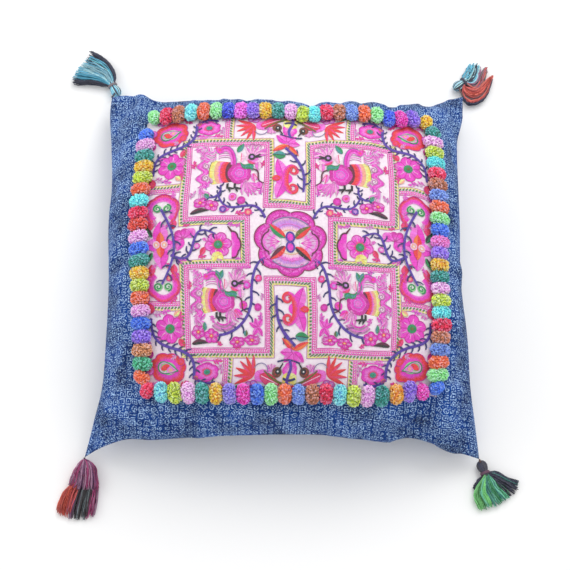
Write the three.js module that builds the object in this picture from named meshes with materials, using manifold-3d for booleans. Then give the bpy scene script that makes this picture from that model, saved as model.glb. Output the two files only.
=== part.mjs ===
// Square scatter cushion: batik-print cover, embroidered panel, pompom trim and four corner tassels.
// Millimetres, +Z up. The cushion lies on its back, the origin is the middle of its flat resting face,
// and +Y points to the edge that is far from the viewer.
import * as THREE from 'three';
import { mergeVertices } from 'three/addons/utils/BufferGeometryUtils.js';
import Module from 'manifold-3d';

const wasm = await Module();
wasm.setup();

// Driving dimensions of the filled cover.
const COVER_HALF = 225;       // half of the 450 mm square that the cover is cut to
const SEAM_HEIGHT = 52;       // height of the seam above the table, mid-side
const CROWN_RISE = 82;        // crown above the seam, in the middle
const BELLY_DROP = 78;        // bulge below the seam before the table flattens it
const CROWN_POWER = 2.2;      // roundness of the crown towards the seam
const CORNER_POWER = 3;       // how late the seam droops towards a corner
const BODY_CELLS = 24;
const SEAM_CROWDING = 0.5;    // share of the cells' spacing that crowds towards the seam

// Seam line seen from above. "at" runs from -1 to 1 along the side and "out" is the distance in
// millimetres from the middle. The sides draw in between the corners, with soft puckers.
const SEAM_SIDES = {
  left: [
    { at: -1, out: 225 }, { at: -0.894, out: 218 }, { at: -0.816, out: 213.5 },
    { at: -0.655, out: 205 }, { at: -0.407, out: 201.5 }, { at: -0.103, out: 200 },
    { at: 0.205, out: 202 }, { at: 0.434, out: 199.5 }, { at: 0.678, out: 202 },
    { at: 0.885, out: 205.5 }, { at: 1, out: 204.5 },
  ],
  right: [
    { at: -1, out: 218 }, { at: -0.816, out: 212.4 }, { at: -0.655, out: 208 },
    { at: -0.407, out: 205.5 }, { at: -0.103, out: 199.5 }, { at: 0.205, out: 200 },
    { at: 0.678, out: 200 }, { at: 0.78, out: 204.5 }, { at: 0.885, out: 208.5 },
    { at: 1, out: 210 },
  ],
  far: [
    { at: -1, out: 223 }, { at: -0.93, out: 222 }, { at: -0.83, out: 217 },
    { at: -0.74, out: 208.8 }, { at: -0.46, out: 207 }, { at: -0.23, out: 203.5 },
    { at: 0, out: 201.5 }, { at: 0.13, out: 197 }, { at: 0.24, out: 201 },
    { at: 0.49, out: 202.5 }, { at: 0.585, out: 199.3 }, { at: 0.72, out: 205 },
    { at: 0.81, out: 204.2 }, { at: 0.91, out: 215.3 }, { at: 1, out: 223.5 },
  ],
  near: [
    { at: -1, out: 212 }, { at: -0.94, out: 205.5 }, { at: -0.856, out: 199.2 },
    { at: -0.77, out: 196 }, { at: -0.65, out: 198.8 }, { at: -0.29, out: 196.4 },
    { at: 0.2, out: 195.4 }, { at: 0.36, out: 199.6 }, { at: 0.52, out: 201 },
    { at: 0.64, out: 196.5 }, { at: 0.76, out: 201.7 }, { at: 0.84, out: 207.2 },
    { at: 0.92, out: 210.5 }, { at: 1, out: 214 },
  ],
};
// Height of the seam where it droops at each corner; u is the left-right sign and v the near-far sign.
const SEAM_CORNERS = [
  { u: -1, v: -1, height: 14 }, { u: 1, v: -1, height: 14 },
  { u: -1, v: 1, height: 20 }, { u: 1, v: 1, height: 20 },
];

// The embroidered panel, in the cover's flat millimetres: its corners and how far each side bows out.
const PANEL = {
  half: 186, cells: 18, thickness: 1.2, clearance: 0.9,
  corners: { farLeft: [-173, 178], farRight: [187, 179], nearRight: [177, -176], nearLeft: [-168, -177] },
  bow: { left: 11, right: 11, far: 7.5, near: 11.5 },
};

// The pompom trim: a tape along each side of the panel with yarn pompoms sewn across it.
const TAPE = { width: 6, thickness: 1.2, clearance: 0.4, inset: 3.5, step: 14.8, longEnd: 2, shortEnd: 1 };
const POMPOM = {
  along: 7.0, across: 11, height: 5.3, lift: 0.5, sides: 5, endAlong: 6.4, endAcross: 8, endTurn: 26,
  sections: [
    { place: -1, size: 0.5 }, { place: -0.5, size: 1 }, { place: 0.5, size: 1 }, { place: 1, size: 0.5 },
  ],
};
const TRIM_ROWS = [
  { name: 'far', count: 23, from: -174, to: 171 },
  { name: 'right', count: 23, from: 168, to: -168 },
  { name: 'near', count: 21, from: -165, to: 160 },
  { name: 'left', count: 21, from: 158, to: -162 },
];

// Tassels. The head lies on the table just past the corner, the neck points along "aim" degrees, and
// each lock fans its strands between two tip angles. "bend" is how far a strand turns on its way out.
const TASSEL = {
  headRadius: 6, headHeight: 6.2, neckRadius: 4.2, neckLength: 13, neckTaper: 3, neckTip: 2.52,
  stemRadius: 1.2, stemTip: 0.6, contactGap: 0.35,
  wrapInner: 4.6, wrapOuter: 5.8, wrapStart: 7, wrapLength: 3.6, boreOvershoot: 1,
  headSides: 10, wrapSides: 12, stemSides: 8,
};
// The head's ball, as places along its axis and radii in head radii.
const HEAD_PROFILE = [
  { at: -0.96, out: 0.28 }, { at: -0.55, out: 0.83 }, { at: 0, out: 1 }, { at: 0.6, out: 0.8 },
];
// One strand of a lock: its stations from root to tip, and how it lies.
const STRAND = {
  stations: [0, 0.3, 0.62, 1], rootGap: 0.5, thickness: 1.9, layerPitch: 2.3, startHeight: 3.5,
  startPitch: 1.3, settledBy: 0.3, unevenness: 0.1, unevenTurn: 2.4, spacingShare: 0.4,
  narrowest: 0.35, widest: 1.3,
};
const TASSELS = [
  { name: 'far_left', u: -1, v: 1, head: [-201, 236], aim: 120, locks: [
    { layer: 0, from: 108, to: 172, reach: 54, bend: 42, strands: 11 },
    { layer: 1, from: 116, to: 166, reach: 50, bend: 38, strands: 8 },
    { layer: 2, from: 124, to: 158, reach: 44, bend: 34, strands: 5 }] },
  { name: 'far_right', u: 1, v: 1, head: [206, 243], aim: 38, locks: [
    { layer: 0, from: -24, to: 66, reach: 36, bend: -20, strands: 12 },
    { layer: 1, from: -12, to: 58, reach: 33, bend: -16, strands: 8 },
    { layer: 2, from: 0, to: 48, reach: 28, bend: -12, strands: 5 }] },
  { name: 'near_left', u: -1, v: -1, head: [-226, -219.5], aim: -98, locks: [
    { layer: 0, from: -130, to: -84, reach: 54, bend: -10, strands: 11 },
    { layer: 1, from: -124, to: -88, reach: 50, bend: -8, strands: 8 },
    { layer: 2, from: -118, to: -92, reach: 44, bend: -6, strands: 5 }] },
  { name: 'near_right', u: 1, v: -1, head: [221.5, -220], aim: -68, locks: [
    { layer: 0, from: -104, to: -18, reach: 42, bend: 8, strands: 12 },
    { layer: 1, from: -96, to: -28, reach: 39, bend: 6, strands: 8 },
    { layer: 2, from: -86, to: -40, reach: 33, bend: 4, strands: 5 }] },
];

const COLOURS = {
  cover: 0x4a66a6, panel: 0xe7a3cf,
  far: 0xc8374f, right: 0x5a9ec4, near: 0x8ac36a, left: 0xd98a3a,
  far_left: 0x6cc6df, far_right: 0xc9564f, near_left: 0xa84478, near_right: 0x4fae74,
  wrap: 0x7b6a78, stem: 0x4a3d48,
};

function material(colour) {
  return new THREE.MeshStandardMaterial({ color: colour, roughness: 0.9, metalness: 0 });
}

// Smooth curve through a table's rows, with slopes taken from the neighbours.
function alongTable(rows, at) {
  const slopeAt = (k) => {
    const before = rows[Math.max(k - 1, 0)];
    const after = rows[Math.min(k + 1, rows.length - 1)];
    return (after.out - before.out) / (after.at - before.at);
  };
  let k = 0;
  while (k < rows.length - 2 && at > rows[k + 1].at) k += 1;
  const span = rows[k + 1].at - rows[k].at;
  const w = (at - rows[k].at) / span;
  const w2 = w * w;
  const w3 = w2 * w;
  return (2 * w3 - 3 * w2 + 1) * rows[k].out + (w3 - 2 * w2 + w) * span * slopeAt(k)
    + (3 * w2 - 2 * w3) * rows[k + 1].out + (w3 - w2) * span * slopeAt(k + 1);
}

// Fullness of the cushion over its square, 1 in the middle and 0 on the seam.
function fullness(u, v) {
  const across = Math.max(0, 1 - Math.abs(u) ** CROWN_POWER);
  const along = Math.max(0, 1 - Math.abs(v) ** CROWN_POWER);
  return Math.sqrt(across * along);
}

function seamHeight(u, v) {
  const corner = SEAM_CORNERS.reduce((sum, c) => sum + (c.height * (1 + c.u * u) * (1 + c.v * v)) / 4, 0);
  return SEAM_HEIGHT - (SEAM_HEIGHT - corner) * Math.abs(u * v) ** CORNER_POWER;
}

function planPoint(u, v) {
  const x = (-alongTable(SEAM_SIDES.left, v) * (1 - u) + alongTable(SEAM_SIDES.right, v) * (1 + u)) / 2;
  const y = (-alongTable(SEAM_SIDES.near, u) * (1 - v) + alongTable(SEAM_SIDES.far, u) * (1 + v)) / 2;
  return [x, y];
}

// Upper and lower faces of the filled cover. The lower one is flat where it lies on the table.
function crownPoint(u, v) {
  const [x, y] = planPoint(u, v);
  return new THREE.Vector3(x, y, seamHeight(u, v) + CROWN_RISE * fullness(u, v));
}

function bellyPoint(u, v) {
  const [x, y] = planPoint(u, v);
  return new THREE.Vector3(x, y, Math.max(0, seamHeight(u, v) - BELLY_DROP * fullness(u, v)));
}

// A frame on the crown at flat millimetres (s, t): the point, the outward normal, and two directions.
function crownFrame(s, t) {
  const u = s / COVER_HALF;
  const v = t / COVER_HALF;
  const reach = 0.01;
  const origin = crownPoint(u, v);
  const alongU = crownPoint(u + reach, v).sub(crownPoint(u - reach, v)).normalize();
  const alongV = crownPoint(u, v + reach).sub(crownPoint(u, v - reach)).normalize();
  const normal = new THREE.Vector3().crossVectors(alongU, alongV).normalize();
  return { origin, alongU, alongV, normal };
}

// Flat millimetres of a point of the panel, given in the panel's own square of -half to half.
function panelFlat(p, q) {
  const a = p / PANEL.half;
  const b = q / PANEL.half;
  const { farLeft, farRight, nearRight, nearLeft } = PANEL.corners;
  const mix = (from, to, w) => (from * (1 - w) + to * (1 + w)) / 2;
  const left = mix(nearLeft[0], farLeft[0], b) - PANEL.bow.left * (1 - b * b);
  const right = mix(nearRight[0], farRight[0], b) + PANEL.bow.right * (1 - b * b);
  const near = mix(nearLeft[1], nearRight[1], a) - PANEL.bow.near * (1 - a * a);
  const far = mix(farLeft[1], farRight[1], a) + PANEL.bow.far * (1 - a * a);
  return [mix(left, right, a), mix(near, far, b)];
}

function panelPoint(p, q, height) {
  const frame = crownFrame(...panelFlat(p, q));
  return frame.origin.addScaledVector(frame.normal, height);
}

// A closed body from points and triangles, turned so that its faces point out.
function closedMesh(points, faces) {
  const volume = faces.reduce((sum, [a, b, c]) => {
    const normal = new THREE.Vector3().crossVectors(points[b], points[c]);
    return sum + points[a].dot(normal);
  }, 0);
  const facing = volume < 0 ? faces.map(([a, b, c]) => [a, c, b]) : faces;
  const geometry = new THREE.BufferGeometry();
  const positions = points.flatMap((p) => [p.x, p.y, p.z]);
  geometry.setAttribute('position', new THREE.Float32BufferAttribute(positions, 3));
  geometry.setIndex(facing.flat());
  return geometry;
}

// A closed solid between an upper and a lower grid of points. Where sharedRim is set, the two grids
// meet in a seam; otherwise a narrow edge joins them.
function gridSolid(cells, upper, lower, sharedRim) {
  const size = cells + 1;
  const points = [];
  const top = [];
  const bottom = [];
  for (let j = 0; j < size; j += 1) {
    for (let i = 0; i < size; i += 1) {
      top.push(points.push(upper(i, j)) - 1);
    }
  }
  for (let j = 0; j < size; j += 1) {
    for (let i = 0; i < size; i += 1) {
      const onRim = i === 0 || j === 0 || i === cells || j === cells;
      const index = j * size + i;
      bottom.push(sharedRim && onRim ? top[index] : points.push(lower(i, j)) - 1);
    }
  }
  const faces = [];
  const quad = (a, b, c, d) => faces.push([a, b, c], [a, c, d]);
  for (let j = 0; j < cells; j += 1) {
    for (let i = 0; i < cells; i += 1) {
      const k = j * size + i;
      const corners = [k, k + 1, k + size + 1, k + size];
      const turned = (i < cells / 2) === (j < cells / 2);
      const order = turned ? corners : [corners[1], corners[2], corners[3], corners[0]];
      quad(...order.map((n) => top[n]));
      quad(...order.map((n) => bottom[n]).reverse());
    }
  }
  if (!sharedRim) {
    for (let n = 0; n < cells; n += 1) {
      const near = [n, n + 1];
      const far = [cells * size + n + 1, cells * size + n];
      const left = [(n + 1) * size, n * size];
      const right = [n * size + cells, (n + 1) * size + cells];
      for (const [a, b] of [near, far, left, right]) quad(bottom[a], bottom[b], top[b], top[a]);
    }
  }
  return closedMesh(points, faces);
}

// A closed solid through a run of ring sections, capped with a fan at each end.
function loft(rings) {
  const sides = rings[0].length;
  const points = rings.flat();
  const faces = [];
  for (let r = 0; r < rings.length - 1; r += 1) {
    for (let n = 0; n < sides; n += 1) {
      const m = (n + 1) % sides;
      const a = r * sides + n;
      const b = r * sides + m;
      faces.push([a, b, b + sides], [a, b + sides, a + sides]);
    }
  }
  const last = (rings.length - 1) * sides;
  for (let n = 1; n < sides - 1; n += 1) {
    faces.push([0, n + 1, n], [last, last + n, last + n + 1]);
  }
  return closedMesh(points, faces);
}

function toManifold(geometry) {
  const bare = geometry.clone();
  bare.deleteAttribute('normal');
  bare.deleteAttribute('uv');
  const merged = mergeVertices(bare, 1e-4);
  return new wasm.Manifold(new wasm.Mesh({
    numProp: 3,
    vertProperties: new Float32Array(merged.attributes.position.array),
    triVerts: new Uint32Array(merged.index.array),
  }));
}

function toGeometry(solid) {
  const mesh = solid.getMesh();
  const geometry = new THREE.BufferGeometry();
  geometry.setAttribute('position', new THREE.BufferAttribute(new Float32Array(mesh.vertProperties), 3));
  geometry.setIndex(Array.from(mesh.triVerts));
  return geometry;
}

function fuse(geometries) {
  return toGeometry(geometries.map(toManifold).reduce((sum, next) => sum.add(next)));
}

// Cells are smaller near the seam, where the cushion turns under.
function bodyStation(index) {
  const x = (2 * index) / BODY_CELLS - 1;
  return (1 - SEAM_CROWDING) * x + SEAM_CROWDING * Math.sin((Math.PI / 2) * x);
}

function cushionBody() {
  const place = (face) => (i, j) => face(bodyStation(i), bodyStation(j));
  return gridSolid(BODY_CELLS, place(crownPoint), place(bellyPoint), true);
}

function embroideredPanel() {
  const place = (height) => (i, j) => {
    const step = (2 * PANEL.half) / PANEL.cells;
    return panelPoint(i * step - PANEL.half, j * step - PANEL.half, height);
  };
  return gridSolid(PANEL.cells, place(PANEL.clearance + PANEL.thickness), place(PANEL.clearance), false);
}

// Heights above the crown of the tape's two faces, and the place of a point of the trim's line.
const TAPE_LOW = PANEL.clearance + PANEL.thickness + TAPE.clearance;
const TAPE_HIGH = TAPE_LOW + TAPE.thickness;

function trimPlace(row, along, inward) {
  const edge = PANEL.half - TAPE.inset - inward;
  if (row.name === 'far') return [along, edge];
  if (row.name === 'near') return [along, -edge];
  if (row.name === 'right') return [edge, along];
  return [-edge, along];
}

function runsLeftToRight(row) {
  return row.name === 'far' || row.name === 'near';
}

function tapeStrip(row) {
  const edge = PANEL.half - TAPE.inset - TAPE.width / 2;
  const half = runsLeftToRight(row) ? PANEL.half - TAPE.longEnd : edge - TAPE.shortEnd;
  const steps = Math.round((2 * half) / TAPE.step);
  const corners = [
    { side: -1, height: TAPE_LOW }, { side: -1, height: TAPE_HIGH },
    { side: 1, height: TAPE_HIGH }, { side: 1, height: TAPE_LOW },
  ];
  const rings = [];
  for (let n = 0; n <= steps; n += 1) {
    const along = (2 * half * n) / steps - half;
    rings.push(corners.map(({ side, height }) => {
      const [p, q] = trimPlace(row, along, (side * TAPE.width) / 2);
      return panelPoint(p, q, height);
    }));
  }
  return loft(rings);
}

// One pompom: a low lump of yarn, long across the trim, in the tangent frame of the crown.
function pompom(row, along, isEnd, turnSign) {
  const [s, t] = panelFlat(...trimPlace(row, along, 0));
  const frame = crownFrame(s, t);
  const run = runsLeftToRight(row) ? frame.alongU : frame.alongV;
  const turn = THREE.MathUtils.degToRad(isEnd ? POMPOM.endTurn * turnSign : 0);
  const alongAxis = run.clone().applyAxisAngle(frame.normal, turn);
  const acrossAxis = new THREE.Vector3().crossVectors(frame.normal, alongAxis).normalize();
  const halfAlong = isEnd ? POMPOM.endAlong : POMPOM.along;
  const halfAcross = isEnd ? POMPOM.endAcross : POMPOM.across;
  const centreHeight = TAPE_LOW + POMPOM.lift + POMPOM.height;
  const rings = [];
  for (const { place, size } of POMPOM.sections) {
    const ring = [];
    for (let n = 0; n < POMPOM.sides; n += 1) {
      const angle = (2 * Math.PI * (n + 0.5)) / POMPOM.sides;
      const drop = (POMPOM.height * size * Math.cos(angle)) / Math.cos(Math.PI / POMPOM.sides);
      ring.push(frame.origin.clone()
        .addScaledVector(acrossAxis, halfAcross * place)
        .addScaledVector(alongAxis, halfAlong * size * Math.sin(angle))
        .addScaledVector(frame.normal, centreHeight - drop));
    }
    rings.push(ring);
  }
  return loft(rings);
}

function pompomTrim(row) {
  const solids = [tapeStrip(row)];
  for (let n = 0; n < row.count; n += 1) {
    const along = row.from + ((row.to - row.from) * n) / (row.count - 1);
    const isEnd = n === 0 || n === row.count - 1;
    const turnSign = (n === 0 ? 1 : -1) * (row.name === 'near' || row.name === 'right' ? -1 : 1);
    solids.push(pompom(row, along, isEnd, turnSign));
  }
  return fuse(solids);
}

function direction(degrees) {
  const angle = THREE.MathUtils.degToRad(degrees);
  return new THREE.Vector3(Math.cos(angle), Math.sin(angle), 0);
}

// A round solid along a straight axis, from stations of distance and radius.
function turned(start, axis, sides, stations) {
  const side = new THREE.Vector3().crossVectors(axis, new THREE.Vector3(0, 0, 1)).normalize();
  const up = new THREE.Vector3().crossVectors(side, axis).normalize();
  const rings = stations.map(({ at, radius }) => {
    const ring = [];
    for (let n = 0; n < sides; n += 1) {
      const angle = (2 * Math.PI * n) / sides;
      ring.push(start.clone().addScaledVector(axis, at)
        .addScaledVector(side, -radius * Math.cos(angle)).addScaledVector(up, radius * Math.sin(angle)));
    }
    return ring;
  });
  return loft(rings);
}

function headCentre(tassel) {
  return new THREE.Vector3(...tassel.head, TASSEL.headHeight);
}

function tasselHead(tassel) {
  const ball = HEAD_PROFILE.map(({ at, out }) => (
    { at: at * TASSEL.headRadius, radius: out * TASSEL.headRadius }));
  return turned(headCentre(tassel), direction(tassel.aim), TASSEL.headSides, [
    ...ball,
    { at: TASSEL.headRadius, radius: TASSEL.neckRadius },
    { at: TASSEL.neckLength, radius: TASSEL.neckRadius },
    { at: TASSEL.neckLength + TASSEL.neckTaper, radius: TASSEL.neckTip },
  ]);
}

// One strand of a lock: flat below and ridged above, so that it lies level on the table or on the
// strands under it. It leaves the neck's end and widens as its neighbours spread.
function tasselStrand(tassel, lock, index) {
  const root = new THREE.Vector3(...tassel.head, 0).addScaledVector(direction(tassel.aim), TASSEL.neckLength);
  const pitch = (lock.to - lock.from) / (lock.strands - 1);
  const tipAngle = lock.from + pitch * index;
  const shortening = STRAND.unevenness * Math.abs(Math.sin(index * STRAND.unevenTurn + lock.layer));
  const reach = lock.reach * (1 - shortening);
  const rest = STRAND.layerPitch * lock.layer;
  const start = STRAND.startHeight + STRAND.startPitch * lock.layer;
  const rings = STRAND.stations.map((share) => {
    const distance = STRAND.rootGap + (reach - STRAND.rootGap) * share;
    const heading = direction(tipAngle - lock.bend * (1 - share) ** 2);
    const side = new THREE.Vector3(heading.y, -heading.x, 0);
    const centre = root.clone().addScaledVector(heading, distance);
    const roomy = THREE.MathUtils.degToRad(pitch) * distance * STRAND.spacingShare;
    const halfWidth = THREE.MathUtils.clamp(roomy, STRAND.narrowest, STRAND.widest);
    const low = rest + (start - rest) * Math.max(0, 1 - share / STRAND.settledBy);
    return [
      centre.clone().addScaledVector(side, halfWidth).setZ(low),
      centre.clone().addScaledVector(side, -halfWidth).setZ(low),
      centre.clone().setZ(low + STRAND.thickness),
    ];
  });
  return loft(rings);
}

function tasselSolid(tassel) {
  const solids = [tasselHead(tassel)];
  for (const lock of tassel.locks) {
    for (let n = 0; n < lock.strands; n += 1) solids.push(tasselStrand(tassel, lock, n));
  }
  return fuse(solids);
}

// The yarn wound round the neck, as one ring.
function tasselWrap(tassel) {
  const axis = direction(tassel.aim);
  const start = headCentre(tassel).addScaledVector(axis, TASSEL.wrapStart);
  const outer = turned(start, axis, TASSEL.wrapSides, [
    { at: 0, radius: TASSEL.wrapOuter }, { at: TASSEL.wrapLength, radius: TASSEL.wrapOuter }]);
  const bore = turned(start, axis, TASSEL.wrapSides, [
    { at: -TASSEL.boreOvershoot, radius: TASSEL.wrapInner },
    { at: TASSEL.wrapLength + TASSEL.boreOvershoot, radius: TASSEL.wrapInner }]);
  return toGeometry(toManifold(outer).subtract(toManifold(bore)));
}

// The short yarn stem between the corner of the cover and the tassel's head.
function tasselStem(tassel) {
  const corner = crownPoint(tassel.u, tassel.v);
  const axis = headCentre(tassel).sub(corner);
  const length = axis.length() - TASSEL.headRadius - 2 * TASSEL.contactGap;
  axis.normalize();
  const start = corner.addScaledVector(axis, TASSEL.contactGap);
  return turned(start, axis, TASSEL.stemSides, [
    { at: 0, radius: TASSEL.stemTip }, { at: TASSEL.stemRadius, radius: TASSEL.stemRadius },
    { at: length, radius: TASSEL.stemRadius },
  ]);
}

const group = new THREE.Group();

function addPiece(name, geometry, colour) {
  const mesh = new THREE.Mesh(geometry, material(colour));
  mesh.name = name;
  group.add(mesh);
}

addPiece('cushion_body', cushionBody(), COLOURS.cover);
addPiece('embroidered_panel', embroideredPanel(), COLOURS.panel);
for (const row of TRIM_ROWS) addPiece(`pompom_trim_${row.name}`, pompomTrim(row), COLOURS[row.name]);
for (const tassel of TASSELS) {
  addPiece(`tassel_${tassel.name}`, tasselSolid(tassel), COLOURS[tassel.name]);
  addPiece(`tassel_wrap_${tassel.name}`, tasselWrap(tassel), COLOURS.wrap);
  addPiece(`tassel_stem_${tassel.name}`, tasselStem(tassel), COLOURS.stem);
}

export default group;
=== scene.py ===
"""A square cotton cushion: batik cover, embroidered panel, pompom trim and corner tassels."""

import math

import bpy
import numpy as np
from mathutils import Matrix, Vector


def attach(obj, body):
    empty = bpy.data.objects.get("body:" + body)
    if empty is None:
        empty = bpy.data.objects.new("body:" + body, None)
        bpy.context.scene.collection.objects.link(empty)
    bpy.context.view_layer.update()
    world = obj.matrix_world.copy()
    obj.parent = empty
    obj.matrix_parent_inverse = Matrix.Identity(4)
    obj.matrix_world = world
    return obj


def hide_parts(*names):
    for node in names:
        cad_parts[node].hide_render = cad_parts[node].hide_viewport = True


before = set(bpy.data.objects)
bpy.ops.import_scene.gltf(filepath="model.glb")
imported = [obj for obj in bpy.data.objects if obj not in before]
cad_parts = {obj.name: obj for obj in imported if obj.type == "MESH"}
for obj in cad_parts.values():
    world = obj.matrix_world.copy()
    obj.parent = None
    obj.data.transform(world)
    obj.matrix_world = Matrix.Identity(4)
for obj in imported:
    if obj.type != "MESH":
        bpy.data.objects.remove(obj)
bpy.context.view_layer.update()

bl_info = {
    "name": "Embroidered Cushion",
    "version": (1, 0, 0),
    "blender": (4, 5, 0),
    "location": "View3D > Sidebar > Cushion",
    "description": "Sews a square cushion with an embroidered panel, pompoms and tassels",
    "category": "Add Mesh",
}

MM = 0.001
FULL_TURN = 6.28

# The cushion's form, in millimetres

COVER_HALF = 225.0
SEAM_HEIGHT = 52.0
CROWN_RISE = 82.0
BELLY_DROP = 78.0
CROWN_POWER = 2.2
CORNER_POWER = 3

# How far each side of the seam stands from the middle, by place along the side.
SEAM_SIDES = {
    "left": [
        (-1, 225), (-0.894, 218), (-0.816, 213.5), (-0.655, 205), (-0.407, 201.5), (-0.103, 200),
        (0.205, 202), (0.434, 199.5), (0.678, 202), (0.885, 205.5), (1, 204.5),
    ],
    "right": [
        (-1, 218), (-0.816, 212.4), (-0.655, 208), (-0.407, 205.5), (-0.103, 199.5), (0.205, 200),
        (0.678, 200), (0.78, 204.5), (0.885, 208.5), (1, 210),
    ],
    "far": [
        (-1, 223), (-0.93, 222), (-0.83, 217), (-0.74, 208.8), (-0.46, 207), (-0.23, 203.5),
        (0, 201.5), (0.13, 197), (0.24, 201), (0.49, 202.5), (0.585, 199.3), (0.72, 205),
        (0.81, 204.2), (0.91, 215.3), (1, 223.5),
    ],
    "near": [
        (-1, 212), (-0.94, 205.5), (-0.856, 199.2), (-0.77, 196), (-0.65, 198.8), (-0.29, 196.4),
        (0.2, 195.4), (0.36, 199.6), (0.52, 201), (0.64, 196.5), (0.76, 201.7), (0.84, 207.2),
        (0.92, 210.5), (1, 214),
    ],
}
SEAM_CORNERS = {(-1, -1): 14, (1, -1): 14, (-1, 1): 20, (1, 1): 20}

PANEL_HALF = 186.0
PANEL_CORNERS = {
    "far_left": (-173, 178), "far_right": (187, 179), "near_right": (177, -176), "near_left": (-168, -177),
}
PANEL_BOW = {"left": 11, "right": 11, "far": 7.5, "near": 11.5}
PANEL_LOW, PANEL_TOP = 0.9, 2.1
TRIM_LINE = 182.5
TAPE_LOW, TAPE_TOP, TAPE_WIDTH = 2.5, 3.7, 6.0


def along_table(rows, at):
    """Smooth curve through a table's rows, with slopes taken from the neighbours."""
    knots, outs = np.array(rows, float).T
    slopes = np.empty(len(knots))
    slopes[1:-1] = (outs[2:] - outs[:-2]) / (knots[2:] - knots[:-2])
    slopes[0] = (outs[1] - outs[0]) / (knots[1] - knots[0])
    slopes[-1] = (outs[-1] - outs[-2]) / (knots[-1] - knots[-2])
    k = np.clip(np.searchsorted(knots, at) - 1, 0, len(knots) - 2)
    span = knots[k + 1] - knots[k]
    w = (at - knots[k]) / span
    return (
        (2 * w**3 - 3 * w**2 + 1) * outs[k]
        + (w**3 - 2 * w**2 + w) * span * slopes[k]
        + (3 * w**2 - 2 * w**3) * outs[k + 1]
        + (w**3 - w**2) * span * slopes[k + 1]
    )


def cover_point(u, v, upper=True):
    """Points of the cover's front or back, for places of -1 to 1 across and along it."""
    u, v = np.asarray(u, float), np.asarray(v, float)
    x = (along_table(SEAM_SIDES["right"], v) * (1 + u) - along_table(SEAM_SIDES["left"], v) * (1 - u)) / 2
    y = (along_table(SEAM_SIDES["far"], u) * (1 + v) - along_table(SEAM_SIDES["near"], u) * (1 - v)) / 2
    corner = sum(z * (1 + a * u) * (1 + b * v) for (a, b), z in SEAM_CORNERS.items()) / 4
    seam = SEAM_HEIGHT - (SEAM_HEIGHT - corner) * np.abs(u * v) ** CORNER_POWER
    across = np.clip(1 - np.abs(u) ** CROWN_POWER, 0, None)
    along = np.clip(1 - np.abs(v) ** CROWN_POWER, 0, None)
    fullness = np.sqrt(across * along)
    z = seam + CROWN_RISE * fullness if upper else np.maximum(0, seam - BELLY_DROP * fullness)
    return np.stack([x, y, z], -1)


def unit(vectors):
    """The same directions at a length of one."""
    return vectors / np.maximum(np.linalg.norm(vectors, axis=-1, keepdims=True), 1e-9)


def cover_frame(s, t):
    """Origin, two directions and outward normal of the front, at flat places in millimetres."""
    u, v, reach = s / COVER_HALF, t / COVER_HALF, 0.01
    along_u = unit(cover_point(u + reach, v) - cover_point(u - reach, v))
    along_v = unit(cover_point(u, v + reach) - cover_point(u, v - reach))
    return cover_point(u, v), along_u, along_v, unit(np.cross(along_u, along_v))


def panel_flat(p, q):
    """Flat places on the cover of points given in the panel's own square."""
    a, b = p / PANEL_HALF, q / PANEL_HALF
    corner = PANEL_CORNERS

    def mix(start, end, w):
        return (start * (1 - w) + end * (1 + w)) / 2

    left = mix(corner["near_left"][0], corner["far_left"][0], b) - PANEL_BOW["left"] * (1 - b * b)
    right = mix(corner["near_right"][0], corner["far_right"][0], b) + PANEL_BOW["right"] * (1 - b * b)
    near = mix(corner["near_left"][1], corner["near_right"][1], a) - PANEL_BOW["near"] * (1 - a * a)
    far = mix(corner["far_left"][1], corner["far_right"][1], a) + PANEL_BOW["far"] * (1 - a * a)
    return mix(left, right, a), mix(near, far, b)


def panel_point(p, q, height):
    """Points at a height above the crown, for places in the panel's own square."""
    origin, _, _, normal = cover_frame(*panel_flat(np.asarray(p, float), np.asarray(q, float)))
    return origin + normal * np.asarray(height, float)[..., None]


# Yarn and thread colours, as seen in daylight

SHADES = {
    "white": (246, 240, 238), "cream": (250, 232, 214), "pale": (250, 196, 226), "pink": (244, 118, 218),
    "magenta": (240, 54, 202), "deep": (210, 30, 164), "rose": (238, 62, 128), "crimson": (220, 36, 84),
    "red": (238, 50, 60), "orange": (246, 122, 60), "peach": (250, 178, 150), "yellow": (246, 226, 110),
    "lemon": (236, 238, 150), "green": (24, 148, 88), "mint": (150, 222, 150), "olive": (104, 112, 44),
    "teal": (66, 150, 150), "purple": (88, 52, 172), "navy": (46, 40, 112), "lilac": (206, 142, 226),
    "mauve": (196, 130, 180), "maroon": (98, 18, 62), "black": (26, 20, 34), "brown": (118, 62, 40),
    "wine": (128, 24, 60), "slate": (134, 124, 168),
    "plume": (222, 176, 216),
}
SHADE_NAMES = list(SHADES)

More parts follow.
